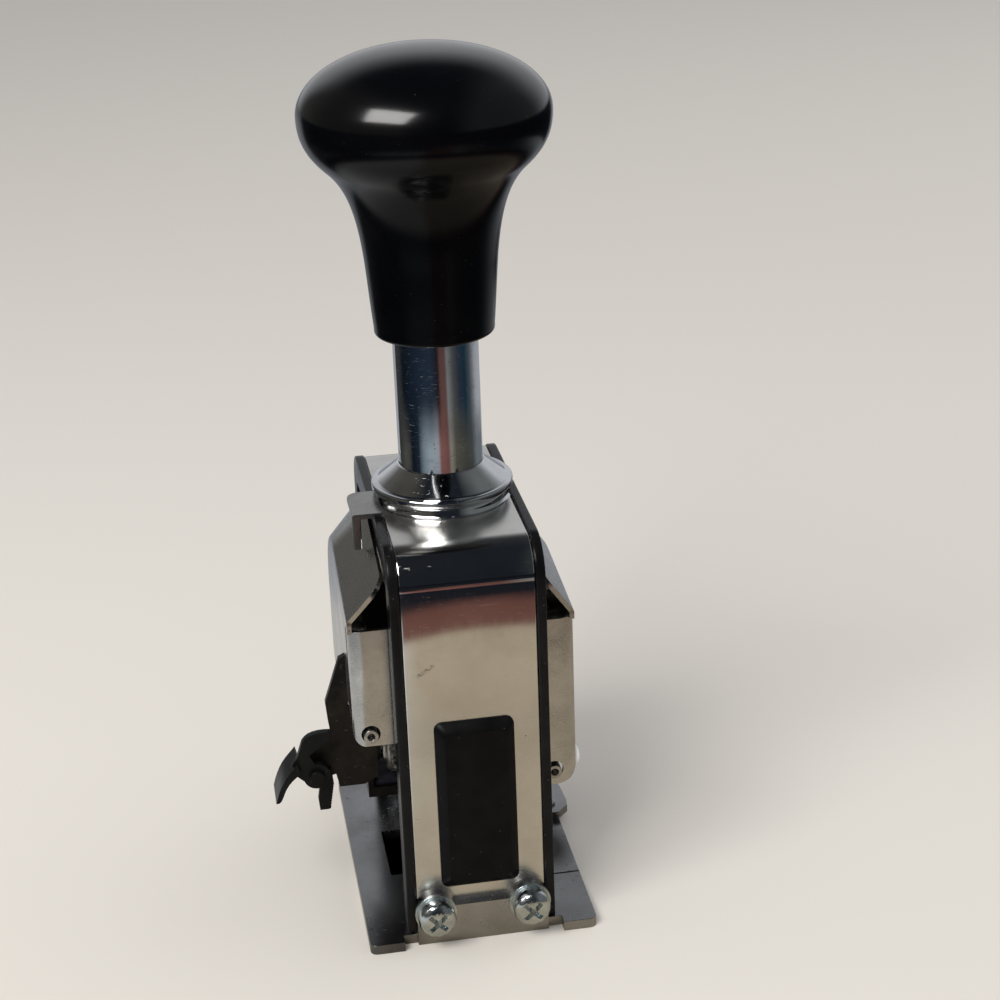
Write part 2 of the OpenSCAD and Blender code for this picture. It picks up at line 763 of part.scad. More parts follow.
module axle_clips() {
    color("dimgray") both_sides() translate([0, 0, axle_z]) difference() {
        rod_x(arm_out + 0.3, arm_out + 0.3 + clip_t, 3.6);
        rod_x(arm_out, arm_out + 3, axle_r);
        translate([arm_out, -0.6, -5]) cube([3, 1.2, 5]);
    }
}

// one wheel: a bored rim with ten raised type faces and a ten-tooth ratchet beside them
module number_wheel(k) {
    x0 = (k - 1) * wheel_pitch - pack_half + wheel_gap / 2;
    ratchet_w = wheel_pitch - wheel_gap - face_w;
    if (k <= wheel_count) color("dimgray") translate([0, 0, axle_z]) difference() {
        union() {
            rod_x(x0, x0 + face_w, wheel_r - type_h);
            for (n = [0:9]) rotate([36 * n, 0, 0]) intersection() {
                translate([x0 + 0.2, -1.6, wheel_r - 2]) cube([face_w - 0.4, 3.2, 3]);
                rod_x(x0, x0 + face_w, wheel_r);
            }
            along_x(x0 + face_w - 0.01, x0 + face_w + ratchet_w) for (n = [0:9]) rotate(36 * n)
                polygon([[0, 0], [5.2 * cos(-1), 5.2 * sin(-1)], [6.6, 0.1], [5.2 * cos(37), 5.2 * sin(37)]]);
        }
        rod_x(x0 - 1, x0 + wheel_pitch + 1, axle_r + run_gap);
    }
}

module number_wheel_1() { number_wheel(1); }
module number_wheel_2() { number_wheel(2); }
module number_wheel_3() { number_wheel(3); }
module number_wheel_4() { number_wheel(4); }
module number_wheel_5() { number_wheel(5); }
module number_wheel_6() { number_wheel(6); }

module detent_bar() {
    color("dimgray") translate([0, -9.6, 46]) rod_x(-cheek_out, cheek_out, 1.5);
}

module detent_springs() {
    color("silver") for (k = [1:wheel_count]) translate([k * wheel_pitch - pack_half - finger_back, 0, 0])
        along_x(0, finger_w) difference() {
            union() {
                translate([-9.6, 46]) circle(r = 2.3, $fn = 40);
                polygon([[-11.9, 46], [-11.1, 46], [-9.2, 35], [-9.6, 34.6]]);
                polygon([[-9.7, 35.4], [-6.5, 33.4], [-6.6, 32.9], [-9.9, 34.4]]);
            }
            translate([-9.6, 46]) circle(r = 1.5, $fn = 40);
        }
}

module feed_rocker() {
    reach = 11.6;
    color("silver") translate([0, 0, axle_z]) rotate([rocker_at, 0, 0]) difference() {
        union() {
            both_sides() along_x(pack_half + 0.3, cheek_in - 0.3) {
                circle(r = 4, $fn = 48);
                translate([0, -2.4]) square([reach, 4.8]);
                translate([reach, 0]) circle(r = 2.4, $fn = 48);
            }
        }
        rod_x(-30, 30, axle_r + run_gap);
        translate([0, reach, 0]) rod_x(-30, 30, 1.1);
    }
}

module pawl_pin() {
    color("dimgray") translate([0, 0, axle_z]) rotate([rocker_at, 0, 0]) translate([0, 11.6, 0])
        rod_x(-cheek_in + 0.3, cheek_in - 0.3, 1.1);
}

module feed_pawl_comb() {
    color([0.15, 0.15, 0.15]) translate([0, 0, axle_z]) rotate([rocker_at, 0, 0]) difference() {
        union() {
            along_x(-pack_half, pack_half) translate([11.6, 0]) circle(r = 2, $fn = 40);
            for (k = [1:wheel_count]) translate([k * wheel_pitch - pack_half - finger_back, 0, 0])
                along_x(0, finger_w) polygon([[11.8, -1.9], [9, -3.2], [6.9, -1.6], [6.9, -0.9], [9.4, 0.6], [11, 1.4]]);
        }
        translate([0, 11.6, 0]) rod_x(-30, 30, 1.1);
    }
}

module ink_tray() {
    floor_z = -pad_top - pad_t - tray_t;
    half_y = pad_half_y + tray_wall;
    color([0.1, 0.1, 0.1]) translate([0, 0, axle_z]) difference() {
        union() {
            translate([-arm_out, -half_y, floor_z]) cube([2 * arm_out, 2 * half_y, tray_t]);
            for (y = [-half_y, pad_half_y]) translate([-arm_out, y, floor_z])
                cube([2 * arm_out, tray_wall, tray_t + 1.2]);
            both_sides() along_x(arm_in, arm_out) {
                circle(r = 3.6, $fn = 48);
                polygon([[-3.4, -1], [-half_y, floor_z + 2], [-half_y, floor_z], [half_y, floor_z],
                    [half_y, floor_z + 2], [3.4, -1]]);
            }
        }
        rod_x(-30, 30, axle_r + run_gap);
    }
}

module ink_pad() {
    color([0.05, 0.05, 0.12]) translate([-arm_in + 0.2, -pad_half_y, axle_z - pad_top - pad_t])
        cube([2 * arm_in - 0.4, 2 * pad_half_y, pad_t]);
}

base_plate();
frame_strap();
left_rail();
right_rail();
name_plate();
guide_bush();
bush_nut();
frame_screws();
spring_washers();
flat_washers();
frame_nuts();
hook_clip();
spring_anchor_pin();
spring_seat();
side_gauge();
gauge_rivets();
knob();
plunger_tube();
tube_plug();
return_spring();
head_yoke();
foot_rivets();
left_cover();
right_cover();
cover_spacers();
lever_bracket();
bracket_rivets();
left_stop_pin();
right_ear();
right_stop_pin();
nylon_bumper();
lever_rivet();
serrated_tongue();
thumb_lever();
wheel_axle();
axle_clips();
number_wheel_1();
number_wheel_2();
number_wheel_3();
number_wheel_4();
number_wheel_5();
number_wheel_6();
detent_bar();
detent_springs();
feed_rocker();
feed_pawl_comb();
pawl_pin();
ink_tray();
ink_pad();
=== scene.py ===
"""Self-inking hand numbering machine: the dressed pieces, their finishes, the light and the camera.
Lengths are typed in millimetres, as in the part's source, and become metres when a mesh is made.
X runs to the right, the front faces -Y, Z is up."""
import math
import bmesh
import bpy
import numpy as np
from mathutils import Matrix, Vector


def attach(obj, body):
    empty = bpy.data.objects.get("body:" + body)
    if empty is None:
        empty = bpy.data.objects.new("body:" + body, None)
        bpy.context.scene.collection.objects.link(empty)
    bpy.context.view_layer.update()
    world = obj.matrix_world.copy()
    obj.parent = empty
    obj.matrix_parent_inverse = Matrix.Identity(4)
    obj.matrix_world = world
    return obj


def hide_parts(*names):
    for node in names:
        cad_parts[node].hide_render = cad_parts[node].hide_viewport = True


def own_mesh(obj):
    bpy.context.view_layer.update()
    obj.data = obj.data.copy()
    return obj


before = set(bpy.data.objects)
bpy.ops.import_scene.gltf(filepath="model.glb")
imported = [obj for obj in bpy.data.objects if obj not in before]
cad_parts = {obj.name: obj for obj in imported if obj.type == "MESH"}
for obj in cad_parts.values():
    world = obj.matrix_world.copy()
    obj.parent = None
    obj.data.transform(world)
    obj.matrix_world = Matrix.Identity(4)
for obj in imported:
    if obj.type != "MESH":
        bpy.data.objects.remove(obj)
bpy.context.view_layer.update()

MM = 0.001
TAU = 2 * math.pi


# ---------------------------------------------------------------- camera

def place_camera():
    """The camera as fitted to the photo: target and distance in mm, focal length in pixels of the picture."""
    azimuth, elevation, roll = (math.radians(a) for a in (-9.04, 22.34, -2.1))
    target, distance, focal, picture, sensor = Vector((11.07, 0, 77.44)), 390.1, 2026.82, 1000, 36
    back = Vector((math.sin(azimuth) * math.cos(elevation),
                   -math.cos(azimuth) * math.cos(elevation), math.sin(elevation)))
    right = Vector((math.cos(azimuth), math.sin(azimuth), 0))
    up = back.cross(right)
    across = right * math.cos(roll) + up * math.sin(roll)
    above = up * math.cos(roll) - right * math.sin(roll)
    eye = target * MM + back * distance * MM
    data = bpy.data.cameras.new("camera")
    data.sensor_fit = "HORIZONTAL"
    data.sensor_width = sensor
    data.lens = focal / picture * sensor
    data.clip_start = 0.01
    camera = bpy.data.objects.new("camera", data)
    bpy.context.scene.collection.objects.link(camera)
    turn = Matrix((across, above, back)).transposed().to_4x4()
    camera.matrix_world = Matrix.Translation(eye) @ turn
    bpy.context.scene.camera = camera


# ---------------------------------------------------------------- shader sums

class Wire:
    """One output socket. A sum with a number or another wire adds a Math node. Only a difference can begin with
    the number."""

    def __init__(self, finish, socket):
        self.finish, self.socket = finish, socket

    def sum(self, operation, a, b):
        return self.finish.node("Math", {"operation": operation}, a, b)

    def __add__(self, other):
        return self.sum("ADD", self, other)

    def __sub__(self, other):
        return self.sum("SUBTRACT", self, other)

    def __rsub__(self, other):
        return self.sum("SUBTRACT", other, self)

    def __mul__(self, other):
        return self.sum("MULTIPLY", self, other)

    def __truediv__(self, other):
        return self.sum("DIVIDE", self, other)

    def __pow__(self, other):
        return self.sum("POWER", self, other)

    def __gt__(self, other):
        return self.sum("GREATER_THAN", self, other)

    def __lt__(self, other):
        return self.sum("LESS_THAN", self, other)


class Finish:
    """A node material. node() adds any shader node: settings first, then sockets by place or by name."""

    def __init__(self, name):
        self.material = bpy.data.materials.new(name)
        self.material.use_nodes = True
        self.tree = self.material.node_tree
        self.tree.nodes.clear()

    def plug(self, socket, value):
        if isinstance(value, Wire):
            self.tree.links.new(value.socket, socket)
        elif value is not None:
            if socket.type == "RGBA" and len(value) == 3:
                value = (*value, 1)
            socket.default_value = value

    def node(self, kind, settings=None, *values, out=0, **named):
        n = self.tree.nodes.new("ShaderNode" + kind)
        for key, value in (settings or {}).items():
            if key == "stops":
                while len(n.color_ramp.elements) < len(value):
                    n.color_ramp.elements.new(0.5)
                for element, (place, colour) in zip(n.color_ramp.elements, value):
                    element.position = place
                    element.color = (*colour, 1)
            else:
                setattr(n, key, value)
        for i, value in enumerate(values):
            self.plug(n.inputs[i], value)
        for key, value in named.items():
            self.plug(n.inputs[key.replace("_", " ")], value)
        return Wire(self, n.outputs[out] if len(n.outputs) else None)

    def place(self):
        """Object coordinates, in metres."""
        return self.node("TexCoord", out=3)

    def split(self, vector):
        """The X, Y and Z of a vector."""
        parts = self.node("SeparateXYZ", None, vector)
        return [Wire(self, socket) for socket in parts.socket.node.outputs]

    def mapped(self, scale, turn=(0, 0, 0)):
        """Object coordinates turned by degrees and scaled, so that noise on them is drawn out along an axis."""
        return self.node("Mapping", None, self.place(), None, tuple(math.radians(a) for a in turn), scale)

    def noise(self, scale, detail=3.0, rough=0.55, where=None, bend=0.0):
        """Cloudy noise about 0.5. scale is in waves per metre."""
        return self.node("TexNoise", None, Vector=where or self.place(), Scale=scale, Detail=detail,
                         Roughness=rough, Distortion=bend)

    def ramp(self, value, low, high, start=0.0, end=1.0):
        """A straight rise of value from low..high to start..end, held at both ends."""
        return self.node("MapRange", {"clamp": True}, value, low, high, start, end)

    def dots(self, scale, size, share):
        """1 inside small round dots: size is their radius in cells, share the part of cells that hold one."""
        far = self.node("TexVoronoi", None, Vector=self.place(), Scale=scale)
        pick = self.node("TexVoronoi", None, Vector=self.place(), Scale=scale, out=1)
        chosen = self.node("SeparateColor", None, pick)
        return self.ramp(far, size, size * 0.6) * (chosen < share)

    def streaks(self, turn, cut, scale=(500, 500, 26000), spread=0.06):
        """Fine scratches: noise drawn out along two directions, of which only the crests are kept."""
        return self.ramp(self.noise(1.0, 2.0, 0.5, self.mapped(scale, turn)), cut, cut + spread)

    def mix(self, share, a, b):
        """Colour a, turning to b as share goes to 1."""
        n = self.node("Mix", {"data_type": "RGBA"}, out=2)
        sockets = n.socket.node.inputs
        self.plug(sockets[0], share)
        self.plug(sockets[6], a)
        self.plug(sockets[7], b)
        return n

    def surface(self, relief, depth, rounded=None, **sockets):
        """The Principled shader. relief is a height of 0..1, depth its size in mm and rounded the radius in mm
        that the edges seem to have."""
        edge = self.node("Bevel", {"samples": 4}, rounded * MM) if rounded else None
        bump = self.node("Bump", None, Strength=1.0, Distance=depth * MM, Height=relief, Normal=edge)
        self.node("OutputMaterial", None, self.node("BsdfPrincipled", None, Normal=bump, **sockets))
        return self.material


# ---------------------------------------------------------------- finishes

def bright_chrome():
    """Mirror chrome with hair scratches, a little tarnish and dust in the scratches."""
    f = Finish("bright_chrome")
    hair = f.streaks((0, 12, 0), 0.70) + f.streaks((35, 0, 20), 0.71) + f.streaks((-50, 8, 0), 0.72)
    cloud = f.noise(160, 4)
    fine = f.dots(900, 0.16, 0.25)
    colour = f.mix(f.ramp(cloud, 0.42, 0.7), (0.79, 0.80, 0.82), (0.66, 0.67, 0.69))
    colour = f.mix(fine * 0.5, colour, (0.38, 0.38, 0.38))
    rough = f.ramp(cloud, 0.35, 0.75, 0.035, 0.09) + hair * 0.10 + fine * 0.2
    height = hair * -0.5 + f.noise(70, 2) * 1.6
    return f.surface(height, 0.012, Base_Color=colour, Metallic=1.0, Roughness=rough)


def polished_nickel():
    """Rolled nickel sheet: a mirror on the shoulder, dull on top and satin lower down, with scratches and one
    score at the left along z = 0.64 x + 62.74 mm."""
    f = Finish("polished_nickel")
    x, _, z = f.split(f.place())
    satin_top, mirror_foot, dull_top = 0.046, 0.058, 0.0788
    brush = f.noise(1.0, 3.0, 0.6, f.mapped((5200, 5200, 160)))
    cloud = f.noise(95, 5, 0.6)
    long = f.streaks((0, 62, 0), 0.725, (420, 420, 15000)) + f.streaks((0, -20, 0), 0.735, (300, 300, 17000))
    pits = f.dots(520, 0.12, 0.07)
    off_line = z - x * 0.64 - 0.06274
    score = f.ramp((off_line * off_line) ** 0.5, 0.00055, 0.0002) * (x > -0.0100) * (x < -0.0068)
    score = score * f.ramp(f.noise(2600, 3, 0.7), 0.44, 0.54)
    colour = f.mix(f.ramp(cloud, 0.38, 0.72), (0.80, 0.785, 0.75), (0.68, 0.66, 0.62))
    colour = f.mix(pits * 0.6 + score * 0.7, colour, (0.25, 0.24, 0.23))
    rough = f.ramp(z, satin_top, mirror_foot, 0.24, 0.045) + f.ramp(brush, 0.3, 0.75, 0.0, 0.03)
    rough = rough + f.ramp(z, dull_top, dull_top + 0.001, 0.0, 0.17)
    rough = rough + long * 0.10 + pits * 0.2 + score * 0.2
    grain = brush * f.ramp(z, 0.045, 0.066, 0.34, 0.10)
    height = grain - long * 0.35 - pits * 0.5 + f.noise(42, 2) * 3.0
    return f.surface(height, 0.010, Base_Color=colour, Metallic=1.0, Roughness=rough)


def satin_nickel(name, shade):
    """Tumbled nickel on the side covers: satin, pitted all over, with darker stains. shade darkens the colour
    evenly: painted shade, for a shaded copy of the finish.
    """
    f = Finish(name)
    grain = f.noise(4200, 3, 0.6)
    cloud = f.noise(120, 5, 0.62)
    pits = f.dots(1500, 0.22, 0.35)
    spots = f.dots(420, 0.13, 0.18)
    hair = f.streaks((20, 30, 0), 0.71) + f.streaks((-30, -15, 0), 0.72)
    colour = f.mix(f.ramp(cloud, 0.36, 0.74), (0.66, 0.65, 0.63), (0.48, 0.47, 0.45))
    # shade adds an even darkening over the whole piece: painted shade
    colour = f.mix(pits * 0.3 + spots * 0.5 + shade, colour, (0.20, 0.195, 0.19))
    rough = f.ramp(grain, 0.3, 0.7, 0.17, 0.27) + f.ramp(cloud, 0.45, 0.8, 0.0, 0.08) + hair * 0.1
    height = grain * 0.4 - pits * 0.7 - spots - hair * 0.4
    return f.surface(height, 0.0035, Base_Color=colour, Metallic=1.0, Roughness=rough)


def worn_nickel():
    """Nickel plate on the base: soft sheen and dark specks, with a thin seam on its right side, painted shade
    under the right side of the head, and darker towards the front left corner."""
    f = Finish("worn_nickel")
    cloud = f.noise(70, 6, 0.65)
    grain = f.noise(3000, 2)
    worn = f.ramp(f.noise(900, 5, 0.7), 0.60, 0.68) * f.ramp(f.noise(60, 3), 0.46, 0.6)
    spots = f.dots(330, 0.16, 0.22)
    hair = f.streaks((0, 0, 25), 0.70, (26000, 500, 500)) + f.streaks((0, 0, -48), 0.71, (26000, 500, 500))
    colour = f.mix(f.ramp(cloud, 0.35, 0.7), (0.50, 0.50, 0.505), (0.34, 0.34, 0.345))
    colour = f.mix(worn * 0.75 + spots * 0.5, colour, (0.06, 0.058, 0.055))
    x, y, _ = f.split(f.place())
    seam = (y > -0.01545) * (y < -0.01495) * (x > 0.0158)
    colour = f.mix(seam * 0.92, colour, (0.02, 0.02, 0.02))
    # painted shade: an oval on the right of the plate, under the right side of the head, darkened as if shaded
    from_shade_middle = ((x - 0.0175) * (x - 0.0175) * 3 + (y + 0.005) * (y + 0.005)) ** 0.5 + cloud * 0.004
    painted_shade = f.ramp(from_shade_middle, 0.0125, 0.0065) * 0.93
    # darker towards the front left corner, broken up by the cloud noise
    corner = f.ramp(y, -0.018, -0.034) * f.ramp(x, -0.006, -0.016) * f.ramp(cloud, 0.2, 0.55, 0.75, 1.0)
    # the painted shade and the darker front left corner share one dark colour
    colour = f.mix(painted_shade + corner * 0.8, colour, (0.035, 0.036, 0.036))
    rough = f.ramp(cloud, 0.3, 0.75, 0.13, 0.27) + f.ramp(grain, 0.35, 0.7, 0.0, 0.06)
    rough = rough + worn * 0.3 + hair * 0.1
    height = grain * 0.25 - worn * 0.6 - spots * 0.5 - hair * 0.4
    metal = 1.0 - worn * 0.5 - seam * 0.8
    return f.surface(height, 0.007, Base_Color=colour, Metallic=metal, Roughness=rough)


def black_enamel():
    """Gloss black paint on the rails, rubbed grey at places, with dust and small chips."""
    f = Finish("black_enamel")
    cloud = f.noise(140, 5, 0.6)
    dust = f.dots(1100, 0.14, 0.20)
    chips = f.ramp(f.noise(700, 4, 0.7), 0.70, 0.73)
    colour = f.mix(f.ramp(cloud, 0.4, 0.8), (0.0035, 0.0035, 0.004), (0.009, 0.009, 0.0095))
    colour = f.mix(dust * 0.25 + chips * 0.4, colour, (0.26, 0.25, 0.24))
    rough = f.ramp(cloud, 0.3, 0.75, 0.18, 0.34) + dust * 0.3 + chips * 0.2
    height = f.noise(1500, 3) * 0.4 - chips * 0.6 + dust * 0.3
    return f.surface(height, 0.010, rounded=0.15, Base_Color=colour, Roughness=rough, Metallic=chips * 0.4,
                     Specular_IOR_Level=0.22)


def black_knob():
    """Moulded black resin, polished by the hand on its upper part and duller below, with dust and rub marks."""
    f = Finish("black_knob")
    cloud = f.noise(60, 4, 0.6)
    z = f.split(f.place())[2]
    dust = f.dots(1500, 0.11, 0.14) + f.dots(520, 0.06, 0.16)
    hair = f.streaks((0, 70, 0), 0.72, (260, 260, 9000)) + f.streaks((60, 0, 30), 0.73, (260, 260, 9000))
    colour = f.mix(f.ramp(cloud, 0.4, 0.75), (0.0008, 0.0009, 0.0013), (0.0018, 0.0019, 0.0025))
    colour = f.mix(dust * 0.09, colour, (0.40, 0.39, 0.37))
    rough = f.ramp(cloud, 0.3, 0.75, 0.17, 0.25) + hair * 0.08 + dust * 0.3
    dull_foot, gloss_foot = 0.1475, 0.1535
    gloss = f.ramp(z, dull_foot, gloss_foot, 0.16, 0.85)
    height = f.noise(240, 3) * 0.9 - hair * 0.3 + dust * 0.5
    return f.surface(height, 0.010, Base_Color=colour, Roughness=rough, Specular_IOR_Level=0.09,
                     Coat_Weight=gloss, Coat_Roughness=0.16)


def plate_plastic():
    """Black moulded plate with a faint sheen and dust along its bevels."""
    f = Finish("plate_plastic")
    cloud = f.noise(200, 4)
    dust = f.dots(1300, 0.12, 0.14)
    colour = f.mix(f.ramp(cloud, 0.4, 0.75), (0.0030, 0.0030, 0.0034), (0.0055, 0.0055, 0.0060))
    colour = f.mix(dust * 0.3, colour, (0.3, 0.29, 0.28))
    rough = f.ramp(cloud, 0.3, 0.7, 0.30, 0.42) + dust * 0.2
    height = f.noise(2600, 3) * 0.5 + dust * 0.3
    return f.surface(height, 0.010, rounded=0.2, Base_Color=colour, Roughness=rough, Specular_IOR_Level=0.10)


def zinc(name, dull):
    """Bright zinc plate with a bluish cast; dull is added to its roughness."""
    f = Finish(name)
    cloud = f.noise(700, 4, 0.6)
    wipe = f.streaks((0, 25, 0), 0.62, (900, 900, 9000), 0.12)
    colour = f.mix(f.ramp(cloud, 0.35, 0.7), (0.70, 0.755, 0.765), (0.50, 0.56, 0.575))
    colour = f.mix(f.dots(2400, 0.2, 0.18) * 0.6, colour, (0.12, 0.13, 0.14))
    rough = f.ramp(cloud, 0.3, 0.75, 0.13, 0.27) + wipe * 0.08 + dull
    height = cloud * 0.5 - wipe * 0.2
    return f.surface(height, 0.010, rounded=0.12, Base_Color=colour, Metallic=1.0, Roughness=rough)


def blackened_steel():
    """Oil-blackened steel: near black with brown patches, rubbed bright on its edges."""
    f = Finish("blackened_steel")
    cloud = f.noise(260, 5, 0.65)
    grain = f.noise(3500, 3)
    rub = f.ramp(f.noise(900, 4, 0.7), 0.64, 0.70)
    colour = f.mix(f.ramp(cloud, 0.38, 0.7), (0.012, 0.011, 0.010), (0.030, 0.024, 0.019))
    colour = f.mix(rub * 0.35, colour, (0.22, 0.20, 0.18))
    rough = f.ramp(cloud, 0.3, 0.75, 0.38, 0.52) - rub * 0.15
    height = grain * 0.6 - rub * 0.4
    return f.surface(height, 0.010, rounded=0.15, Base_Color=colour, Metallic=0.6, Roughness=rough,
                     Specular_IOR_Level=0.2)


def lever_black():
    """Japanned black of the thumb lever, with a soft gloss and worn grey spots."""
    f = Finish("lever_black")
    cloud = f.noise(240, 5, 0.6)
    rub = f.ramp(f.noise(620, 5, 0.7), 0.66, 0.73)
    dust = f.dots(1600, 0.13, 0.2)
    colour = f.mix(f.ramp(cloud, 0.4, 0.75), (0.0035, 0.0038, 0.0038), (0.008, 0.0085, 0.008))
    colour = f.mix(rub * 0.3 + dust * 0.2, colour, (0.20, 0.20, 0.19))
    rough = f.ramp(cloud, 0.3, 0.75, 0.28, 0.42)
    height = f.noise(2600, 3) * 0.5 - rub * 0.4
    return f.surface(height, 0.010, rounded=0.15, Base_Color=colour, Roughness=rough, Metallic=rub * 0.4,
                     Specular_IOR_Level=0.14)


def bare_steel():
    """Turned and stamped steel, slightly oiled, with a fine grain."""
    f = Finish("bare_steel")
    cloud = f.noise(420, 5, 0.62)
    long = (700, 700, 12000)
    hair = f.streaks((15, 40, 0), 0.68, long) + f.streaks((-40, 10, 0), 0.69, long)
    colour = f.mix(f.ramp(cloud, 0.36, 0.72), (0.57, 0.56, 0.545), (0.38, 0.37, 0.355))
    colour = f.mix(f.dots(1700, 0.2, 0.3) * 0.6, colour, (0.10, 0.085, 0.07))
    rough = f.ramp(cloud, 0.3, 0.75, 0.22, 0.38) + hair * 0.08
    height = cloud * 0.5 - hair * 0.5
    return f.surface(height, 0.012, rounded=0.1, Base_Color=colour, Metallic=1.0, Roughness=rough)


def spring_steel():
    """Blued spring steel: dark straw and blue clouds under a thin oil film."""
    f = Finish("spring_steel")
    cloud = f.noise(330, 4, 0.6)
    colour = f.mix(f.ramp(cloud, 0.35, 0.7), (0.26, 0.27, 0.31), (0.33, 0.29, 0.24))
    rough = f.ramp(f.noise(1500, 3), 0.3, 0.75, 0.24, 0.36)
    height = f.noise(2800, 3)
    return f.surface(height, 0.008, rounded=0.08, Base_Color=colour, Metallic=1.0, Roughness=rough)


def white_nylon():
    """Moulded white nylon, slightly yellowed, with scuffs."""
    f = Finish("white_nylon")
    cloud = f.noise(600, 4)
    colour = f.mix(f.ramp(cloud, 0.4, 0.75), (0.80, 0.80, 0.78), (0.70, 0.68, 0.63))
    colour = f.mix(f.ramp(f.noise(2000, 4, 0.7), 0.64, 0.72) * 0.4, colour, (0.42, 0.40, 0.37))
    rough = f.ramp(cloud, 0.3, 0.75, 0.36, 0.5)
    return f.surface(f.noise(3000, 3), 0.010, rounded=0.15, Base_Color=colour, Roughness=rough)


def ink_felt():
    """Pressed wool felt, soaked with blue-black ink: matted fibres that catch a little light."""
    f = Finish("ink_felt")
    fibre = f.noise(1.0, 4, 0.7, f.mapped((2500, 7000, 7000), (0, 0, 28)), 1.2)
    other = f.noise(1.0, 4, 0.7, f.mapped((7000, 2500, 7000), (0, 0, -22)), 1.2)
    wet = f.noise(260, 4)
    colour = f.mix(f.ramp(fibre + other, 0.8, 1.3), (0.008, 0.009, 0.020), (0.030, 0.032, 0.060))
    rough = f.ramp(wet, 0.35, 0.7, 0.42, 0.85)
    return f.surface(fibre + other, 0.12, Base_Color=colour, Roughness=rough)


def wheel_metal():
    """Engraved wheel metal, dark with dried ink in the hollows, polished where it prints."""
    f = Finish("wheel_metal")
    cloud = f.noise(520, 5, 0.65)
    ink = f.ramp(f.noise(380, 5, 0.7), 0.46, 0.60)
    colour = f.mix(f.ramp(cloud, 0.35, 0.72), (0.46, 0.44, 0.40), (0.30, 0.285, 0.26))
    colour = f.mix(ink * 0.8, colour, (0.035, 0.033, 0.045))
    rough = f.ramp(cloud, 0.3, 0.75, 0.24, 0.40) + ink * 0.1
    height = cloud * 0.5 + ink * 0.3
    return f.surface(height, 0.012, rounded=0.1, Base_Color=colour, Metallic=1.0 - ink * 0.6, Roughness=rough)


# ---------------------------------------------------------------- mesh work

def made(name, points, faces, body, slot, finish, smooth=35):
    """A piece from points in mm and faces: doubles merged, normals outwards, smooth below the given angle."""
    mesh = bpy.data.meshes.new(name)
    mesh.from_pydata((np.asarray(points, float).reshape(-1, 3) * MM).tolist(), [], faces)
    work = bmesh.new()
    work.from_mesh(mesh)
    bmesh.ops.remove_doubles(work, verts=work.verts, dist=2e-6)
    bmesh.ops.recalc_face_normals(work, faces=work.faces)
    work.to_mesh(mesh)
    work.free()
    obj = bpy.data.objects.new(name, mesh)
    bpy.context.scene.collection.objects.link(obj)
    mesh.materials.append(finish)
    mesh.shade_smooth()
    mesh.set_sharp_from_angle(angle=math.radians(smooth))
    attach(obj, body)
    return obj


def lattice(rows, cols, close_rows=False, close_cols=False, first=0):
    """Quads between the points of a rows x cols grid: each joins (i, j), (i+1, j), (i+1, j+1), (i, j+1)."""
    i, j = np.meshgrid(np.arange(rows if close_rows else rows - 1),
                       np.arange(cols if close_cols else cols - 1), indexing="ij")
    k, m = (i + 1) % rows, (j + 1) % cols
    quads = np.stack([i * cols + j, k * cols + j, k * cols + m, i * cols + m], -1) + first
    return quads.reshape(-1, 4).tolist()


def turned(profile, turns=160):
    """Surface of revolution about Z: (r cos a, r sin a, z) for each point (r, z) of the closed profile."""
    profile = np.asarray(profile, float)
    a = np.linspace(0, TAU, turns, endpoint=False)[:, None]
    r, z = profile[:, 0][None], profile[:, 1][None]
    grid = np.stack([r * np.cos(a), r * np.sin(a), z + 0 * a], -1)
    return grid.reshape(-1, 3), lattice(turns, len(profile), True, True)


def rounded_path(corners, radii, steps=8, closed=True):
    """A polygon in the plane with arcs for corners. An arc of radius r meets the two edges r / tan(half the
    corner's angle) from the corner."""
    corners = np.asarray(corners, float)
    out = []
    n = len(corners)
    for i in range(n):
        p, r = corners[i], radii[i] if hasattr(radii, "__len__") else radii
        if not closed and i in (0, n - 1) or r <= 0:
            out.append(p[None])
            continue
        a, b = corners[i - 1] - p, corners[(i + 1) % n] - p
        la, lb = np.linalg.norm(a), np.linalg.norm(b)
        a, b = a / la, b / lb
        half = math.acos(max(-1, min(1, float(a @ b)))) / 2
        if half > math.pi / 2 - 0.01:
            out.append(p[None])
            continue
        cut = min(r / math.tan(half), 0.49 * la, 0.49 * lb)
        r = cut * math.tan(half)
        mid = (a + b) / np.linalg.norm(a + b)
        centre = p + mid * r / math.sin(half)
        start, end = p + a * cut - centre, p + b * cut - centre
        s = math.atan2(start[1], start[0])
        turn = (math.atan2(end[1], end[0]) - s + math.pi) % TAU - math.pi
        t = s + turn * np.linspace(0, 1, steps)
        out.append(centre + r * np.stack([np.cos(t), np.sin(t)], -1))
    return np.concatenate(out)


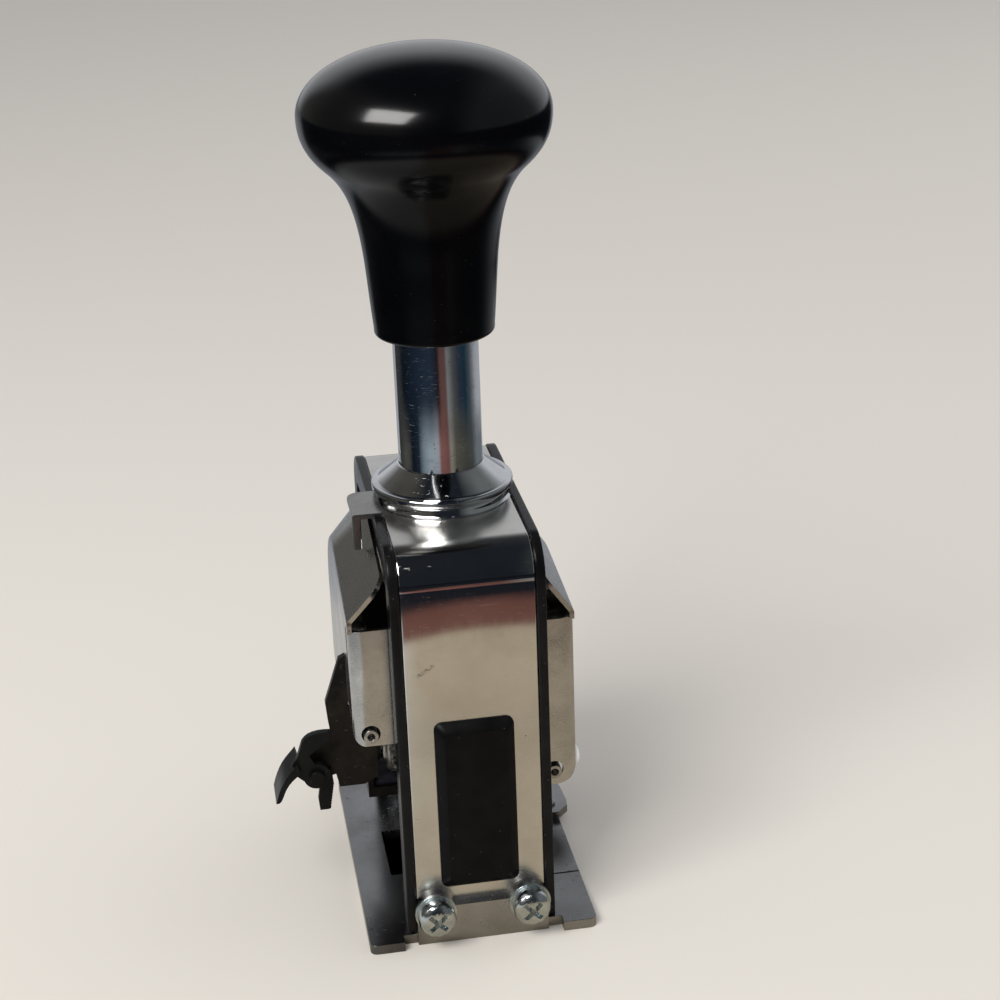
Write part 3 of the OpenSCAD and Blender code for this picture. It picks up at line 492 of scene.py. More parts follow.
def slab(outline, low, high, edge, steps):
    """A flat piece: the outline, a loop in the YZ plane, carried along X, with its rims rounded by edge.
    Rings sit edge * (1 - sin t) inside the outline, edge * (1 - cos t) from the low face, and so on upwards."""
    outline = np.asarray(outline, float)
    before, after = np.roll(outline, 1, 0), np.roll(outline, -1, 0)
    d0, d1 = outline - before, after - outline
    d0 /= np.linalg.norm(d0, axis=1)[:, None] + 1e-12
    d1 /= np.linalg.norm(d1, axis=1)[:, None] + 1e-12
    n0, n1 = np.stack([d0[:, 1], -d0[:, 0]], -1), np.stack([d1[:, 1], -d1[:, 0]], -1)
    out = (n0 + n1) / (1 + (n0 * n1).sum(1))[:, None].clip(0.35)
    t = np.linspace(0, math.pi / 2, steps + 1)
    inset = np.concatenate([edge * (1 - np.sin(t)), edge * (1 - np.cos(t))])
    x = np.concatenate([low + edge * (1 - np.cos(t)), high - edge * (1 - np.sin(t))])
    rings = outline[None] - inset[:, None, None] * out[None]
    grid = np.concatenate([np.broadcast_to(x[:, None, None], rings.shape[:2] + (1,)), rings], -1)
    return grid.reshape(-1, 3), lattice(*grid.shape[:2], False, True) + lids(*grid.shape[:2])


def lids(rows, cols):
    """The faces that close the first and the last row of a grid whose rows are loops."""
    return [list(range(cols)), list(range((rows - 1) * cols, rows * cols))]


def joined(*parts):
    """Several (points, faces) pairs as one, the later faces counted on."""
    points, faces, first = [], [], 0
    for p, f in parts:
        p = np.asarray(p, float).reshape(-1, 3)
        points.append(p)
        faces += [[k + first for k in face] for face in f]
        first += len(p)
    return np.concatenate(points), faces


def carried(path, normal, section):
    """A section of points (x, o) carried along a path (y, z): each lies at path + o * normal, at its x."""
    path, normal, section = (np.asarray(v, float) for v in (path, normal, section))
    x = np.broadcast_to(section[:, 0][None], (len(path), len(section)))
    o = section[:, 1][None, :, None]
    yz = path[:, None] + o * normal[:, None]
    grid = np.concatenate([x[..., None], yz], -1)
    return grid.reshape(-1, 3), lattice(*grid.shape[:2], False, True) + lids(*grid.shape[:2])


def arch():
    """Path (y, z) and outward normals over the arch: up the front, round the bend, back along the top, down."""
    bottom, half, top, bend = 2.0, 29.0, 80.0, 7.0
    t = np.linspace(math.pi, math.pi / 2, 25)
    bow = np.stack([np.cos(t), np.sin(t)], -1)
    corner = [-half + bend, top - bend] + bend * bow
    rise = np.linspace(bottom, top - bend, 40)[:-1]
    front = np.stack([np.full_like(rise, -half), rise], -1)
    back = np.linspace(-half + bend, half - bend, 41)[1:-1]
    roof = np.stack([back, np.full_like(back, top)], -1)
    path = np.concatenate([front, corner, roof, (corner * [-1, 1])[::-1], (front * [-1, 1])[::-1]])
    ahead, above = np.tile([-1.0, 0.0], (len(front), 1)), np.tile([0.0, 1.0], (len(roof), 1))
    return path, np.concatenate([ahead, bow, above, (bow * [-1, 1])[::-1], -ahead])


def cubic(a, b, c, d, n):
    """n points on the cubic with ends a, d and handles b, c, the first left out."""
    t = np.linspace(0, 1, n + 1)[1:, None]
    a, b, c, d = (np.asarray(v, float) for v in (a, b, c, d))
    return (1 - t) ** 3 * a + 3 * t * (1 - t) ** 2 * b + 3 * t * t * (1 - t) * c + t ** 3 * d


def softened(name, finish, body, edge=0.12, smooth=32):
    """A copy of a CAD piece: its doubles merged, its flat faces joined and its edges rounded by edge mm."""
    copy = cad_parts[name].copy()
    copy.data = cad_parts[name].data.copy()
    for key in [k for k in copy.keys() if k.startswith("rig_")]:
        del copy[key]
    copy.parent = None
    copy.name = copy.data.name = name + "_dressed"
    bpy.context.scene.collection.objects.link(copy)
    work = bmesh.new()
    work.from_mesh(copy.data)
    bmesh.ops.remove_doubles(work, verts=work.verts, dist=2e-6)
    bmesh.ops.dissolve_limit(work, angle_limit=math.radians(1.0), verts=work.verts, edges=work.edges)
    work.to_mesh(copy.data)
    work.free()
    if copy.data.has_custom_normals:
        with bpy.context.temp_override(object=copy, active_object=copy):
            bpy.ops.mesh.customdata_custom_splitnormals_clear()
    copy.data.materials.clear()
    copy.data.materials.append(finish)
    copy.data.shade_smooth()
    if edge:
        bevel = copy.modifiers.new("edge", "BEVEL")
        bevel.width = edge * MM
        bevel.segments = 2
        bevel.limit_method = "ANGLE"
        bevel.angle_limit = math.radians(smooth)
        bevel.use_clamp_overlap = True
        bevel.harden_normals = True
        bevel.miter_outer = "MITER_ARC"
    copy.data.set_sharp_from_angle(angle=math.radians(smooth))
    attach(copy, body)
    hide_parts(name)
    return copy


# ---------------------------------------------------------------- the stand

def make_strap(finish, ring_finish):
    """The bent bright strap: a rounded strip over the arch, bored for the bush, and the ring round the bore."""
    path, normal = arch()
    half, thick, bore = 12.5, 1.5, 9.7
    section = rounded_path([[-half, -thick], [half, -thick], [half, 0], [-half, 0]], 0.4, 5)
    strip = made("strap_sheet", *carried(path, normal, section), "stand", "nickel_sheet", finish)
    plug = turned([[0, 70], [bore, 70], [bore, 90], [0, 90]], 96)
    cutter = made("bore_tool", *plug, "stand", "nickel_sheet", finish)
    cut = strip.modifiers.new("bore", "BOOLEAN")
    cut.object, cut.operation, cut.solver = cutter, "DIFFERENCE", "EXACT"
    with bpy.context.temp_override(object=strip, active_object=strip):
        bpy.ops.object.modifier_apply(modifier="bore")
    bpy.data.objects.remove(cutter)
    strip.data.set_sharp_from_angle(angle=math.radians(30))
    flank = cubic([11.7, 81.7], [12.7, 81.7], [12.0, 80.1], [13.1, 79.99], 22)
    ring = np.concatenate([[[9.65, 79.6], [9.65, 81.7], [11.7, 81.7]], flank, [[13.1, 79.6]]])
    made("strap_ring", *turned(ring, 192), "stand", "bright_chrome", ring_finish)
    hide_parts("frame_strap")


def make_rails(finish):
    """The two black rails: deep rounded bars that follow the arch, 0.3 mm proud of the strap."""
    path, normal = arch()
    inner, outer, deep, proud = 12.5, 14.3, 5.2, 0.3
    for side, name in ((-1, "left_rail"), (1, "right_rail")):
        a, b = sorted((side * inner, side * outer))
        section = rounded_path([[a, -deep], [b, -deep], [b, proud], [a, proud]], 0.3, 5)
        rail = made(name + "_bar", *carried(path, normal, section), "stand", "black_enamel", finish)
        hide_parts(name)


def make_bush(finish):
    """The chromed guide bush: a long sleeve through the strap, and above it the collar's rim and cone."""
    inner, sleeve, rim, neck = 8.05, 9.6, 13.5, 11.9
    outline = rounded_path([[inner, 60.6], [sleeve, 60.6], [sleeve, 81.7], [neck, 81.7], [neck, 81.9],
                            [rim, 81.9], [rim, 83.6], [12.5, 83.62], [8.35, 86.95], [inner, 87.1]],
                           [0, 0.3, 0, 0.1, 0, 0.84, 0.5, 1.6, 0.15, 0], 14, False)
    bush = made("guide_bush_turned", *turned(outline, 192), "stand", "bright_chrome", finish)
    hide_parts("guide_bush")


def make_plate(finish):
    """The bare black plate: rings of a rounded rectangle that step in over a bevel to a flat front."""
    w, low, high = 7.5, 11.3, 46.4
    base = rounded_path([[-w, low], [w, low], [w, high], [-w, high]], 1.5, 7)
    mid = np.array([0, (low + high) / 2])
    rings = []
    for inset, y in ((0, -28.6), (0, -29.35), (0.12, -29.55), (1.45, -30.66), (1.75, -30.8), (2.2, -30.8)):
        size = np.array([w, (high - low) / 2])
        flat = mid + (base - mid) * (size - inset) / size
        rings.append(np.stack([flat[:, 0], np.full(len(flat), y), flat[:, 1]], -1))
    grid = np.array(rings)
    faces = lattice(*grid.shape[:2], False, True) + lids(*grid.shape[:2])
    plate = made("name_plate_block", grid, faces, "stand", "plate_plastic", finish, 22)
    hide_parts("name_plate")


# ---------------------------------------------------------------- the plunger

def make_knob(finish):
    """The hand knob: an outline of cubics, turned, from the lip over waist, shoulder and belt to the crown."""
    low, lip, wide, tall = 112.6, 11.2, 22.9, 52.6
    waist, shoulder = np.array([lip + 1.1, 0.274 * tall]), np.array([0.805 * wide, 0.594 * tall])
    belt, crown = np.array([wide, 0.772 * tall]), np.array([0, tall])
    outline = np.concatenate([
        rounded_path([[8.06, 0.5], [8.3, 0], [lip, 0], [lip + 0.02, 1.4]], [0, 0.1, 0.75, 0], 8, False),
        cubic([lip + 0.02, 1.4], [lip + 0.4, 5], [lip + 0.7, 10], waist, 14),
        cubic(waist, waist + [0.8, 7.5], shoulder - [4, 3.6], shoulder, 26),
        cubic(shoulder, shoulder + [3.0, 2.7], belt - [0, 4], belt, 18),
        cubic(belt, belt + [0, 6.4], crown + [wide * 0.61, 0], crown, 34),
        [[0, 12.05], [8.06, 12.05]]])
    outline[:, 1] += low
    knob = made("knob_turned", *turned(outline, 224), "head", "black_knob", finish, 40)
    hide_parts("knob")


def make_tube(finish):
    """The chromed tube: a cylinder grid without the cells of its two slots, then a flange at its foot."""
    r, wall, low, top = 8.0, 1.2, 57.0, 124.6
    slot_low, slot_high, half = 61.65, 86.95, math.asin(1.55 / r)
    sides = np.array([half, math.pi - half, math.pi + half, TAU - half])
    a = np.unique(np.concatenate([np.linspace(0, TAU, 161)[:-1], sides]))
    gap = np.abs((a[:, None] - sides + math.pi) % TAU - math.pi).min(1)
    a = a[(gap < 1e-9) | (gap > 0.012)]
    z = np.concatenate([[low], np.linspace(slot_low, slot_high, 7), np.linspace(slot_high, top, 12)[1:]])
    grid = np.stack(np.broadcast_arrays(r * np.cos(a)[:, None], r * np.sin(a)[:, None], z[None]), -1)
    faces = np.array(lattice(len(a), len(z), True, False))
    mid = grid.reshape(-1, 3)[faces].mean(1)
    open_slot = (np.abs(mid[:, 1]) < 1.5) & (mid[:, 2] > slot_low) & (mid[:, 2] < slot_high)
    tube = made("tube_drawn", grid, faces[~open_slot].tolist(), "head", "bright_chrome", finish)
    sheet = tube.modifiers.new("wall", "SOLIDIFY")
    sheet.thickness, sheet.offset = wall * MM, -1
    inner, outer, thick = r - 0.2, 10.5, 1.5
    foot = rounded_path([[inner, low], [outer, low], [outer, low + thick], [inner, low + thick]],
                        [0, 0.2, 0.2, 0], 5)
    made("tube_foot", *turned(foot), "head", "bright_chrome", finish)
    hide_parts("plunger_tube")


# ---------------------------------------------------------------- the head

ROOF_Y, ROOF_R = 3.0, 15.0                  # centre and radius of the round rear of both roofs
FRONT, SHEET = -22.5, 0.9                   # plane of the front flanges, thickness of the sheet
ROOF_IN, FLANGE_IN = 14.9, 13.6             # inner edges of roof and flange


def roof_rows(offsets, tilt, roof_z, rise):
    """Rows of the roof, each at its offset from the crease: straight back from the front plane along the tilted
    line, then round (ROOF_Y, roof_z) at ROOF_R + offset. The inner front corner is rounded."""
    round_by, straight, turning = 2.2, 36, 96
    offsets = np.asarray(offsets, float)[None]
    tilt = math.radians(tilt)
    a = np.linspace(math.pi / 2 + tilt, tilt - math.radians(20), turning)[:, None]
    turn = np.stack([ROOF_Y + (ROOF_R + offsets) * np.cos(a), roof_z + (ROOF_R + offsets) * np.sin(a)], -1)
    t = np.linspace(0, 1, straight, endpoint=False)[:, None]
    begin = FRONT + round_by * np.clip((offsets - rise + round_by) / round_by, 0, 1) ** 2
    y = begin + t * (turn[0, :, 0][None] - begin)
    z = turn[0, :, 1][None] - (turn[0, :, 0][None] - y) * math.tan(tilt)
    return np.concatenate([np.stack([y, z], -1), turn])


def resampled(line, n):
    """n points spread evenly along a polyline."""
    line = np.asarray(line, float)
    step = np.concatenate([[0], np.cumsum(np.linalg.norm(np.diff(line, axis=0), axis=1))])
    t = np.linspace(0, step[-1], n)
    return np.stack([np.interp(t, step, line[:, k]) for k in range(line.shape[1])], -1)


def thickened(obj, way):
    """Turns a sheet's normals to the given side, then gives it its thickness inwards and eases its edges."""
    ease = 0.12
    normals = np.zeros(len(obj.data.polygons) * 3)
    areas = np.zeros(len(obj.data.polygons))
    obj.data.polygons.foreach_get("normal", normals)
    obj.data.polygons.foreach_get("area", areas)
    if (normals.reshape(-1, 3) * areas[:, None]).sum(0) @ np.asarray(way, float) < 0:
        obj.data.flip_normals()
    thick = obj.modifiers.new("sheet", "SOLIDIFY")
    thick.thickness, thick.offset = SHEET * MM, -1
    edge = obj.modifiers.new("edge", "BEVEL")
    edge.width, edge.segments, edge.limit_method = ease * MM, 2, "ANGLE"
    edge.angle_limit, edge.harden_normals = math.radians(50), True


def make_cover(side, name, out, tilt, roof_z, rise, lower, low, high, corner, hole, finish):
    """A side cover. Across, the roof comes down outwards at phi = atan(rise / run), and an arc of radius b
    turns it into the wall, which runs from the roof's outer edge down to the line lower. The front flange,
    from low to high, is a piece of its own."""
    b, run = 1.5, out - ROOF_IN
    phi = math.atan2(rise, run)
    cut = b * math.tan(math.pi / 4 - phi / 2)
    t = np.linspace(0, 1, 14)
    arc = np.linspace(math.pi / 2 - phi, 0, 9)[1:]
    x = np.concatenate([ROOF_IN + t * (run - cut * math.cos(phi)), out - b + b * np.cos(arc)])
    o = np.concatenate([rise - t * (rise - cut * math.sin(phi)), -cut + b * np.sin(arc)])
    rows = roof_rows(o, tilt, roof_z, rise)
    strip = np.concatenate([np.broadcast_to(side * x[None, :, None], (len(rows), len(x), 1)), rows], -1)
    n = int(np.argmax(rows[:, -1, 0])) + 1
    edge = rows[:n, -1]
    foot = resampled([[FRONT, high - 0.3], [-20.3, high - 0.3]] + lower, n)
    down = np.linspace(0, 1, 16)[None, :, None]
    wall = edge[:, None] + down * (foot - edge)[:, None]
    wall = np.concatenate([np.full(wall.shape[:2] + (1,), side * out), wall], -1)
    both = joined((strip, lattice(*strip.shape[:2])), (wall, lattice(*wall.shape[:2])))
    skin = made(name + "_skin", *both, "head", "nickel_sheet", finish, 50)
    thickened(skin, (side, 0, 0))
    make_flange(side, name, out, low, high, corner, hole, finish)
    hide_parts(name)


def make_flange(side, name, out, low, high, corner, hole, finish):
    """The cover's front flange with its round lower corner. Rays from the pin hole's centre reach the rim. The
    rings between hole and rim lie on y = FRONT + c - sqrt(c^2 - (x - x1)^2). A strip leads on to the wall."""
    c, inner_corner, seam_at = 2.2, 0.8, math.radians(55)
    x0, x1 = FLANGE_IN, out - c
    x2 = x1 + c * math.sin(seam_at)
    hx, hz, r = side * hole[0], hole[1], hole[2]

    def bottom(x):
        outside = np.clip(x - (out - corner), 0, corner)
        inside = np.clip(x0 + inner_corner - x, 0, inner_corner)
        return low + corner - np.sqrt(corner ** 2 - outside ** 2) + inner_corner - np.sqrt(
            inner_corner ** 2 - inside ** 2)

    def bowed(x, z):
        past = np.clip(x - x1, 0, c)
        return np.stack([side * x, FRONT + c - np.sqrt(c ** 2 - past ** 2), z], -1)

    a = np.linspace(0, TAU, 180, endpoint=False)
    rays = np.stack([np.cos(a), np.sin(a)], -1)
    reach, tries = 40, 8001
    t = np.linspace(0, reach, tries)[:, None]
    x, z = hx + t * rays[:, 0], hz + t * rays[:, 1]
    inside = (x <= x2) & (x >= x0) & (z <= high) & (z >= bottom(np.clip(x, x0, x2)))
    rim = np.array([hx, hz]) + rays * t[inside.sum(0) - 1]
    on_seam = rim[:, 0] > x2 - 0.03
    rim[on_seam, 0] = x2
    for spot in ((x2, high), (x2, float(bottom(np.array(x2)))), (x0, high)):
        nearest = np.argmin(np.abs(rim - spot).sum(1))
        rim[nearest] = spot
        on_seam[nearest] |= spot[0] == x2
    start = np.array([hx, hz]) + rays * r
    t = np.array([0, 0.06, 0.15, 0.28, 0.45, 0.68, 1.0])[:, None, None]
    flat = start[None] * (1 - t) + rim[None] * t
    face = bowed(flat[..., 0], flat[..., 1])
    seam = np.sort(rim[on_seam, 1])
    share = (seam - seam[0]) / (seam[-1] - seam[0])
    t = np.linspace(seam_at, math.pi / 2, 8)
    bx = x1 + c * np.sin(t)
    bent = bowed(bx[:, None] + 0 * share, bottom(bx)[:, None] + share[None] * (high - bottom(bx))[:, None])
    wall = np.repeat(bent[-1:], 2, 0)
    wall[:, :, 1] += np.array([0.8, 1.6])[:, None]
    strip = np.concatenate([bent, wall])
    both = joined((face, lattice(*face.shape[:2], False, True)), (strip, lattice(*strip.shape[:2])))
    flange = made(name + "_flange", *both, "head", "nickel_sheet", finish, 50)
    thickened(flange, (side * 0.4, -1, 0))


def make_spring(finish):
    """The return spring: the coil of the solid, given a mesh of its own."""
    coil = softened("return_spring", finish, "head", 0)
    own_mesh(coil)


def make_button(finish):
    """The white button on the right cover: a turned dome on a short neck, its axis along X."""
    dome = cubic([20.75, 1.9], [21.4, 1.9], [21.75, 1.3], [21.75, 0.0], 14)
    profile = np.concatenate([[[19.0, 0.0], [19.0, 1.4], [20.6, 1.4], [20.6, 1.8], [20.75, 1.9]], dome])
    points, faces = turned(profile[:, ::-1], 64)
    points = points[:, [2, 0, 1]] + [0, -18.7, 30.8]
    button = made("nylon_button", points, faces, "head", "white_nylon", finish)
    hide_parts("nylon_bumper")


def digit_meshes():
    """The ten digits as flat letters: points about their middle, mirrored so that they print the right way."""
    digits = []
    for d in range(10):
        curve = bpy.data.curves.new("digit", "FONT")
        curve.body = str(d)
        curve.size, curve.extrude, curve.align_x, curve.align_y = 4.6, 0.3, "CENTER", "CENTER"
        curve.resolution_u = 4
        obj = bpy.data.objects.new("digit", curve)
        bpy.context.scene.collection.objects.link(obj)
        bpy.context.view_layer.update()
        mesh = bpy.data.meshes.new_from_object(obj.evaluated_get(bpy.context.evaluated_depsgraph_get()))
        points = np.zeros(len(mesh.vertices) * 3)
        mesh.vertices.foreach_get("co", points)
        points = points.reshape(-1, 3)
        points[:, :2] -= (points[:, :2].min(0) + points[:, :2].max(0)) / 2
        points[:, 0] *= -0.82
        digits.append((points, [list(p.vertices)[::-1] for p in mesh.polygons]))
        bpy.data.objects.remove(obj)
        bpy.data.meshes.remove(mesh)
    return digits


def make_wheels(finish):
    """Six printing wheels: a turned rim, a ten-tooth ratchet beside it and ten raised digits. A point (x, u) of
    a digit goes to its angle + u / rim on the rim."""
    pitch, half, gap, face_w, rim, bore, axle_z = 4.8, 14.4, 0.3, 3.2, 7.5, 2.06, 30
    digits, step = digit_meshes(), 36
    for k in range(6):
        x0 = k * pitch - half + gap / 2
        x1 = x0 + face_w
        edge = rounded_path([[bore, x0], [rim - 0.5, x0], [rim, x0 + 0.4], [rim, x1 - 0.4], [rim - 0.5, x1],
                             [5.4, x1], [5.4, x1 + 0.2], [bore, x1 + 0.2]],
                            [0.1, 0.1, 0.1, 0.1, 0.1, 0, 0, 0], 4)
        drum, faces = turned(edge, 80)
        parts = [(drum[:, [2, 0, 1]] + [0, 0, axle_z], faces)]
        turn = np.radians(np.arange(10)[:, None] * step + [-1, 0.9, 12, 24]).ravel()
        r = np.tile([5.2, 6.55, 6.1, 5.65], 10)
        saw = np.stack([r * np.cos(turn), axle_z + r * np.sin(turn)], -1)
        parts.append(slab(saw, x1 + 0.05, x0 + pitch - gap, 0.08, 1))
        for d, (points, quads) in enumerate(digits):
            r = rim - 0.08 + (points[:, 2] + 0.3) * 0.92
            turn = math.radians(step * d - 90) + points[:, 1] / rim
            around = [x0 + face_w / 2 + points[:, 0], r * np.cos(turn), axle_z + r * np.sin(turn)]
            parts.append((np.stack(around, -1), quads))
        name = f"number_wheel_{k + 1}"
        wheel = made(name + "_dressed", *joined(*parts), f"wheel_{k + 1}", "wheel_metal", finish, 30)
        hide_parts(name)


# ---------------------------------------------------------------- the room

def make_floor():
    """A plain pale floor. Only the metal sees the surroundings in it: in front a beige bench out to 160 mm, lit
    lighter and grey on its left by painted window light, a red stripe out to 176 mm, a dark gap, and from 222
    to
    375 mm the room, whose colours go by sector (0.5 is straight ahead); behind, a grey floor beyond 150 mm."""
    f = Finish("floor")
    x, y, _ = f.split(f.place())
    reach = (x * x + y * y) ** 0.5
    round_by = f.node("Math", {"operation": "ARCTAN2"}, x, y * -1.0)
    sector = round_by / TAU + 0.5
    bench = f.mix(f.ramp(f.noise(28, 4), 0.35, 0.7), (0.375, 0.322, 0.242), (0.31, 0.262, 0.192))
    # painted light: the bench that the metal sees turns lighter and grey on the left, where the window's light
    # falls on it
    bench = f.mix(f.ramp(x, -0.0145, -0.040), bench, (0.52, 0.52, 0.50))
    low_room = f.node("ValToRGB", {"stops": [
        (0.10, (0.026, 0.027, 0.024)), (0.18, (0.056, 0.056, 0.050)), (0.22, (0.045, 0.045, 0.038)),
        (0.26, (0.004, 0.006, 0.010)), (0.315, (0.010, 0.016, 0.024)), (0.35, (0.12, 0.15, 0.17)),
        (0.40, (0.20, 0.24, 0.26)), (0.465, (0.23, 0.24, 0.26)), (0.485, (0.17, 0.075, 0.065)),
        (0.54, (0.13, 0.058, 0.05)), (0.56, (0.20, 0.18, 0.15)), (0.60, (0.075, 0.072, 0.053)),
        (0.69, (0.053, 0.053, 0.044)), (0.75, (0.053, 0.060, 0.058)), (0.80, (0.14, 0.155, 0.165)),
        (1.0, (0.16, 0.17, 0.18))]}, sector)
    high_room = f.node("ValToRGB", {"stops": [
        (0.08, (0.04, 0.04, 0.038)), (0.15, (0.030, 0.032, 0.032)), (0.20, (0.004, 0.007, 0.011)),
        (0.30, (0.007, 0.012, 0.021)), (0.44, (0.011, 0.018, 0.030)), (0.485, (0.010, 0.009, 0.011)),
        (0.505, (0.085, 0.042, 0.036)), (0.54, (0.09, 0.05, 0.044)), (0.555, (0.15, 0.155, 0.15)),
        (0.60, (0.055, 0.058, 0.055)), (0.645, (0.022, 0.028, 0.042)), (0.70, (0.006, 0.026, 0.040)),
        (0.745, (0.055, 0.07, 0.08)), (0.77, (0.13, 0.14, 0.15)), (0.82, (0.34, 0.35, 0.36)),
        (1.0, (0.46, 0.47, 0.48))]}, sector)
    room = f.mix(f.ramp(reach + f.noise(9, 4) * 0.03 - 0.015, 0.250, 0.290), low_room, high_room)
    slanted = reach - (x - 0.007) * 0.05
    stripe = f.mix(f.ramp(sector, 0.4735, 0.4750), (0.30, 0.31, 0.31), (0.125, 0.056, 0.046))
    seen = f.mix(f.ramp(slanted, 0.1595, 0.1625), bench, stripe)
    seen = f.mix(f.ramp(slanted, 0.176, 0.180), seen, (0.008, 0.010, 0.014))
    seen = f.mix(f.ramp(reach, 0.222, 0.228) * f.ramp(reach, 0.375, 0.36), seen, room)
    behind = f.mix(f.ramp(reach, 0.125, 0.150), bench, (0.33, 0.34, 0.36))
    seen = f.mix(f.ramp(y - (x * x) ** 0.5 * 1.5, 0.0, 0.01), seen, behind)
    glossy = f.node("LightPath", out=3)
    colour = f.mix(glossy, (0.66, 0.62, 0.56), seen)
    f.node("OutputMaterial", None, f.node("BsdfDiffuse", None, colour))
    half = 4.0
    corners = [[-half, -half, 0], [half, -half, 0], [half, half, 0], [-half, half, 0]]
    mesh = bpy.data.meshes.new("floor")
    mesh.from_pydata(corners, [], [[0, 1, 2, 3]])
    mesh.materials.append(f.material)
    floor = bpy.data.objects.new("floor", mesh)
    bpy.context.scene.collection.objects.link(floor)


def make_sky():
    """Soft grey light from all sides. The metal sees a dark room with a lighter right side and left side in it,
    and a pale wall behind."""
    world = bpy.data.worlds.new("room")
    bpy.context.scene.world = world
    world.use_nodes = True
    f = Finish.__new__(Finish)
    f.material, f.tree = world, world.node_tree
    f.tree.nodes.clear()
    x, y, z = f.split(f.node("TexCoord", out=0))
    rear = f.ramp(y, 0.30, 0.65) * f.ramp(z, 0.70, 0.42)
    seen = f.mix(f.ramp(x, 0.30, 0.60), (0.012, 0.015, 0.020), (0.13, 0.14, 0.14))
    seen = f.mix(rear, seen, (0.52, 0.53, 0.55))
    seen = f.mix(f.ramp(x, -0.30, -0.52) * 0.93, seen, (0.075, 0.072, 0.062))
    glossy = f.node("LightPath", out=3)
    camera = f.node("LightPath", out=0)
    colour = f.mix(glossy, (0.56, 0.57, 0.60), seen)
    colour = f.mix(camera, colour, (0.80, 0.80, 0.81))
    f.node("OutputWorld", None, f.node("Background", None, colour, 1.0))


def make_lights():
    """A soft window to the upper left, the only lamp that shows in the metal, and a large weak fill from the
    right. Places and sizes are in metres."""
    aim = Vector((0, 0, 0.09))
    for name, place, size, power, tint in (
            ("window_left", (-0.512, -0.495, 0.803), (0.62, 0.46), 9.0, (1, 0.99, 0.97)),
            ("fill_right", (0.95, 0.25, 0.70), (1.3, 1.3), 4.0, (0.93, 0.96, 1))):
        data = bpy.data.lights.new(name, "AREA")
        data.shape, data.size, data.size_y = "RECTANGLE", *size
        data.energy, data.color = power, tint
        lamp = bpy.data.objects.new(name, data)
        lamp.location = place
        lamp.visible_glossy = name == "window_left"
        lamp.rotation_euler = (aim - Vector(place)).to_track_quat("-Z", "Y").to_euler()
        bpy.context.scene.collection.objects.link(lamp)


# ---------------------------------------------------------------- all of it

place_camera()
chrome, mirror, plated = bright_chrome(), polished_nickel(), worn_nickel()
# the second satin nickel is the same finish darkened by painted shade, for the hook clip
satin, shaded_satin = satin_nickel("satin_nickel", 0.0), satin_nickel("shaded_satin", 0.55)
enamel, resin, plastic = black_enamel(), black_knob(), plate_plastic()
bluish, washer_zinc = zinc("zinc", 0.0), zinc("washer_zinc", 0.10)
dark, japanned, steel, spring = blackened_steel(), lever_black(), bare_steel(), spring_steel()
nylon, felt, wheel_finish = white_nylon(), ink_felt(), wheel_metal()

make_strap(mirror, chrome)
make_rails(enamel)
make_bush(chrome)
make_plate(plastic)
make_knob(resin)
make_tube(chrome)
make_cover(-1, "left_cover", out=21.7, tilt=12, roof_z=55.6, rise=7.2,
           lower=[[-20.3, 41.7], [-18, 42.8], [-14.4, 44.2], [-9, 45], [2, 45.6], [6.8, 44.6], [10.2, 42],
                  [12.6, 38.8], [14.8, 38.4], [17, 39.4], [18, 42]],
           low=39.6, high=63.4, corner=2.4, hole=(-18.5, 42.1, 1.8), finish=satin)
make_cover(1, "right_cover", out=20.7, tilt=5, roof_z=50.4, rise=8.2,
           lower=[[-20.3, 30.9], [-17.6, 29], [-14, 29.6], [13.6, 33.2], [16.8, 34.4], [18, 37]],
           low=26.9, high=61.9, corner=4.0, hole=(16.1, 30.1, 1.8), finish=satin)
make_spring(spring)
make_button(nylon)
make_wheels(wheel_finish)

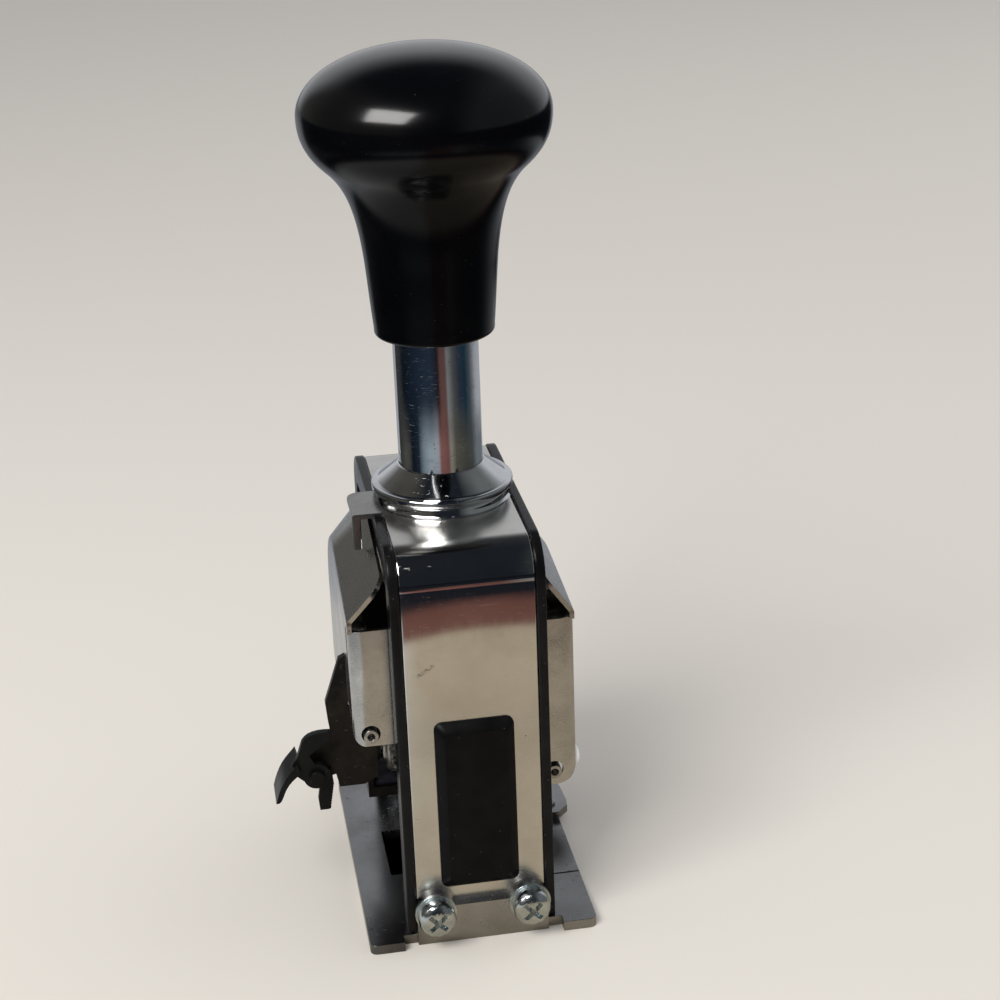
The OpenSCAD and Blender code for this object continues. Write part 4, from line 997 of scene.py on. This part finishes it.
for name, finish, slot, body, edge in (
        ("base_plate", plated, "nickel_plate", "stand", 0.25),
        ("frame_screws", bluish, "zinc", "stand", 0.1),
        ("spring_washers", washer_zinc, "zinc", "stand", 0.1),
        ("flat_washers", washer_zinc, "zinc", "stand", 0.12),
        ("frame_nuts", bluish, "zinc", "stand", 0.2),
        ("bush_nut", steel, "bare_steel", "stand", 0.2),
        # the hook clip takes the satin nickel copy darkened by painted shade
        ("hook_clip", shaded_satin, "nickel_sheet", "stand", 0.2),
        ("spring_anchor_pin", steel, "bare_steel", "stand", 0.1),
        ("spring_seat", steel, "bare_steel", "stand", 0.1),
        ("side_gauge", plated, "nickel_plate", "stand", 0.2),
        ("gauge_rivets", steel, "bare_steel", "stand", 0.12),
        ("tube_plug", steel, "bare_steel", "head", 0.1),
        ("head_yoke", dark, "blackened_steel", "head", 0.15),
        ("foot_rivets", steel, "bare_steel", "head", 0.1),
        ("cover_spacers", steel, "bare_steel", "head", 0.1),
        ("lever_bracket", dark, "blackened_steel", "head", 0.18),
        ("bracket_rivets", steel, "bare_steel", "head", 0.1),
        ("left_stop_pin", steel, "bare_steel", "head", 0.12),
        ("right_ear", dark, "blackened_steel", "head", 0.15),
        ("right_stop_pin", steel, "bare_steel", "head", 0.12),
        ("lever_rivet", japanned, "black_enamel", "head", 0.15),
        ("serrated_tongue", japanned, "black_enamel", "head", 0.06),
        ("thumb_lever", japanned, "black_enamel", "lever", 0.3),
        ("wheel_axle", steel, "bare_steel", "head", 0.12),
        ("axle_clips", spring, "spring_steel", "head", 0.08),
        ("detent_bar", steel, "bare_steel", "head", 0.1),
        ("detent_springs", spring, "spring_steel", "head", 0.05),
        ("feed_rocker", steel, "bare_steel", "feed", 0.15),
        ("feed_pawl_comb", dark, "blackened_steel", "feed", 0.06),
        ("pawl_pin", steel, "bare_steel", "feed", 0.1),
        ("ink_tray", dark, "blackened_steel", "inker", 0.12),
        ("ink_pad", felt, "ink_felt", "inker", 0.35)):
    softened(name, finish, body, edge)

make_floor()
make_sky()
make_lights()
bpy.context.scene.view_settings.view_transform = "Standard"
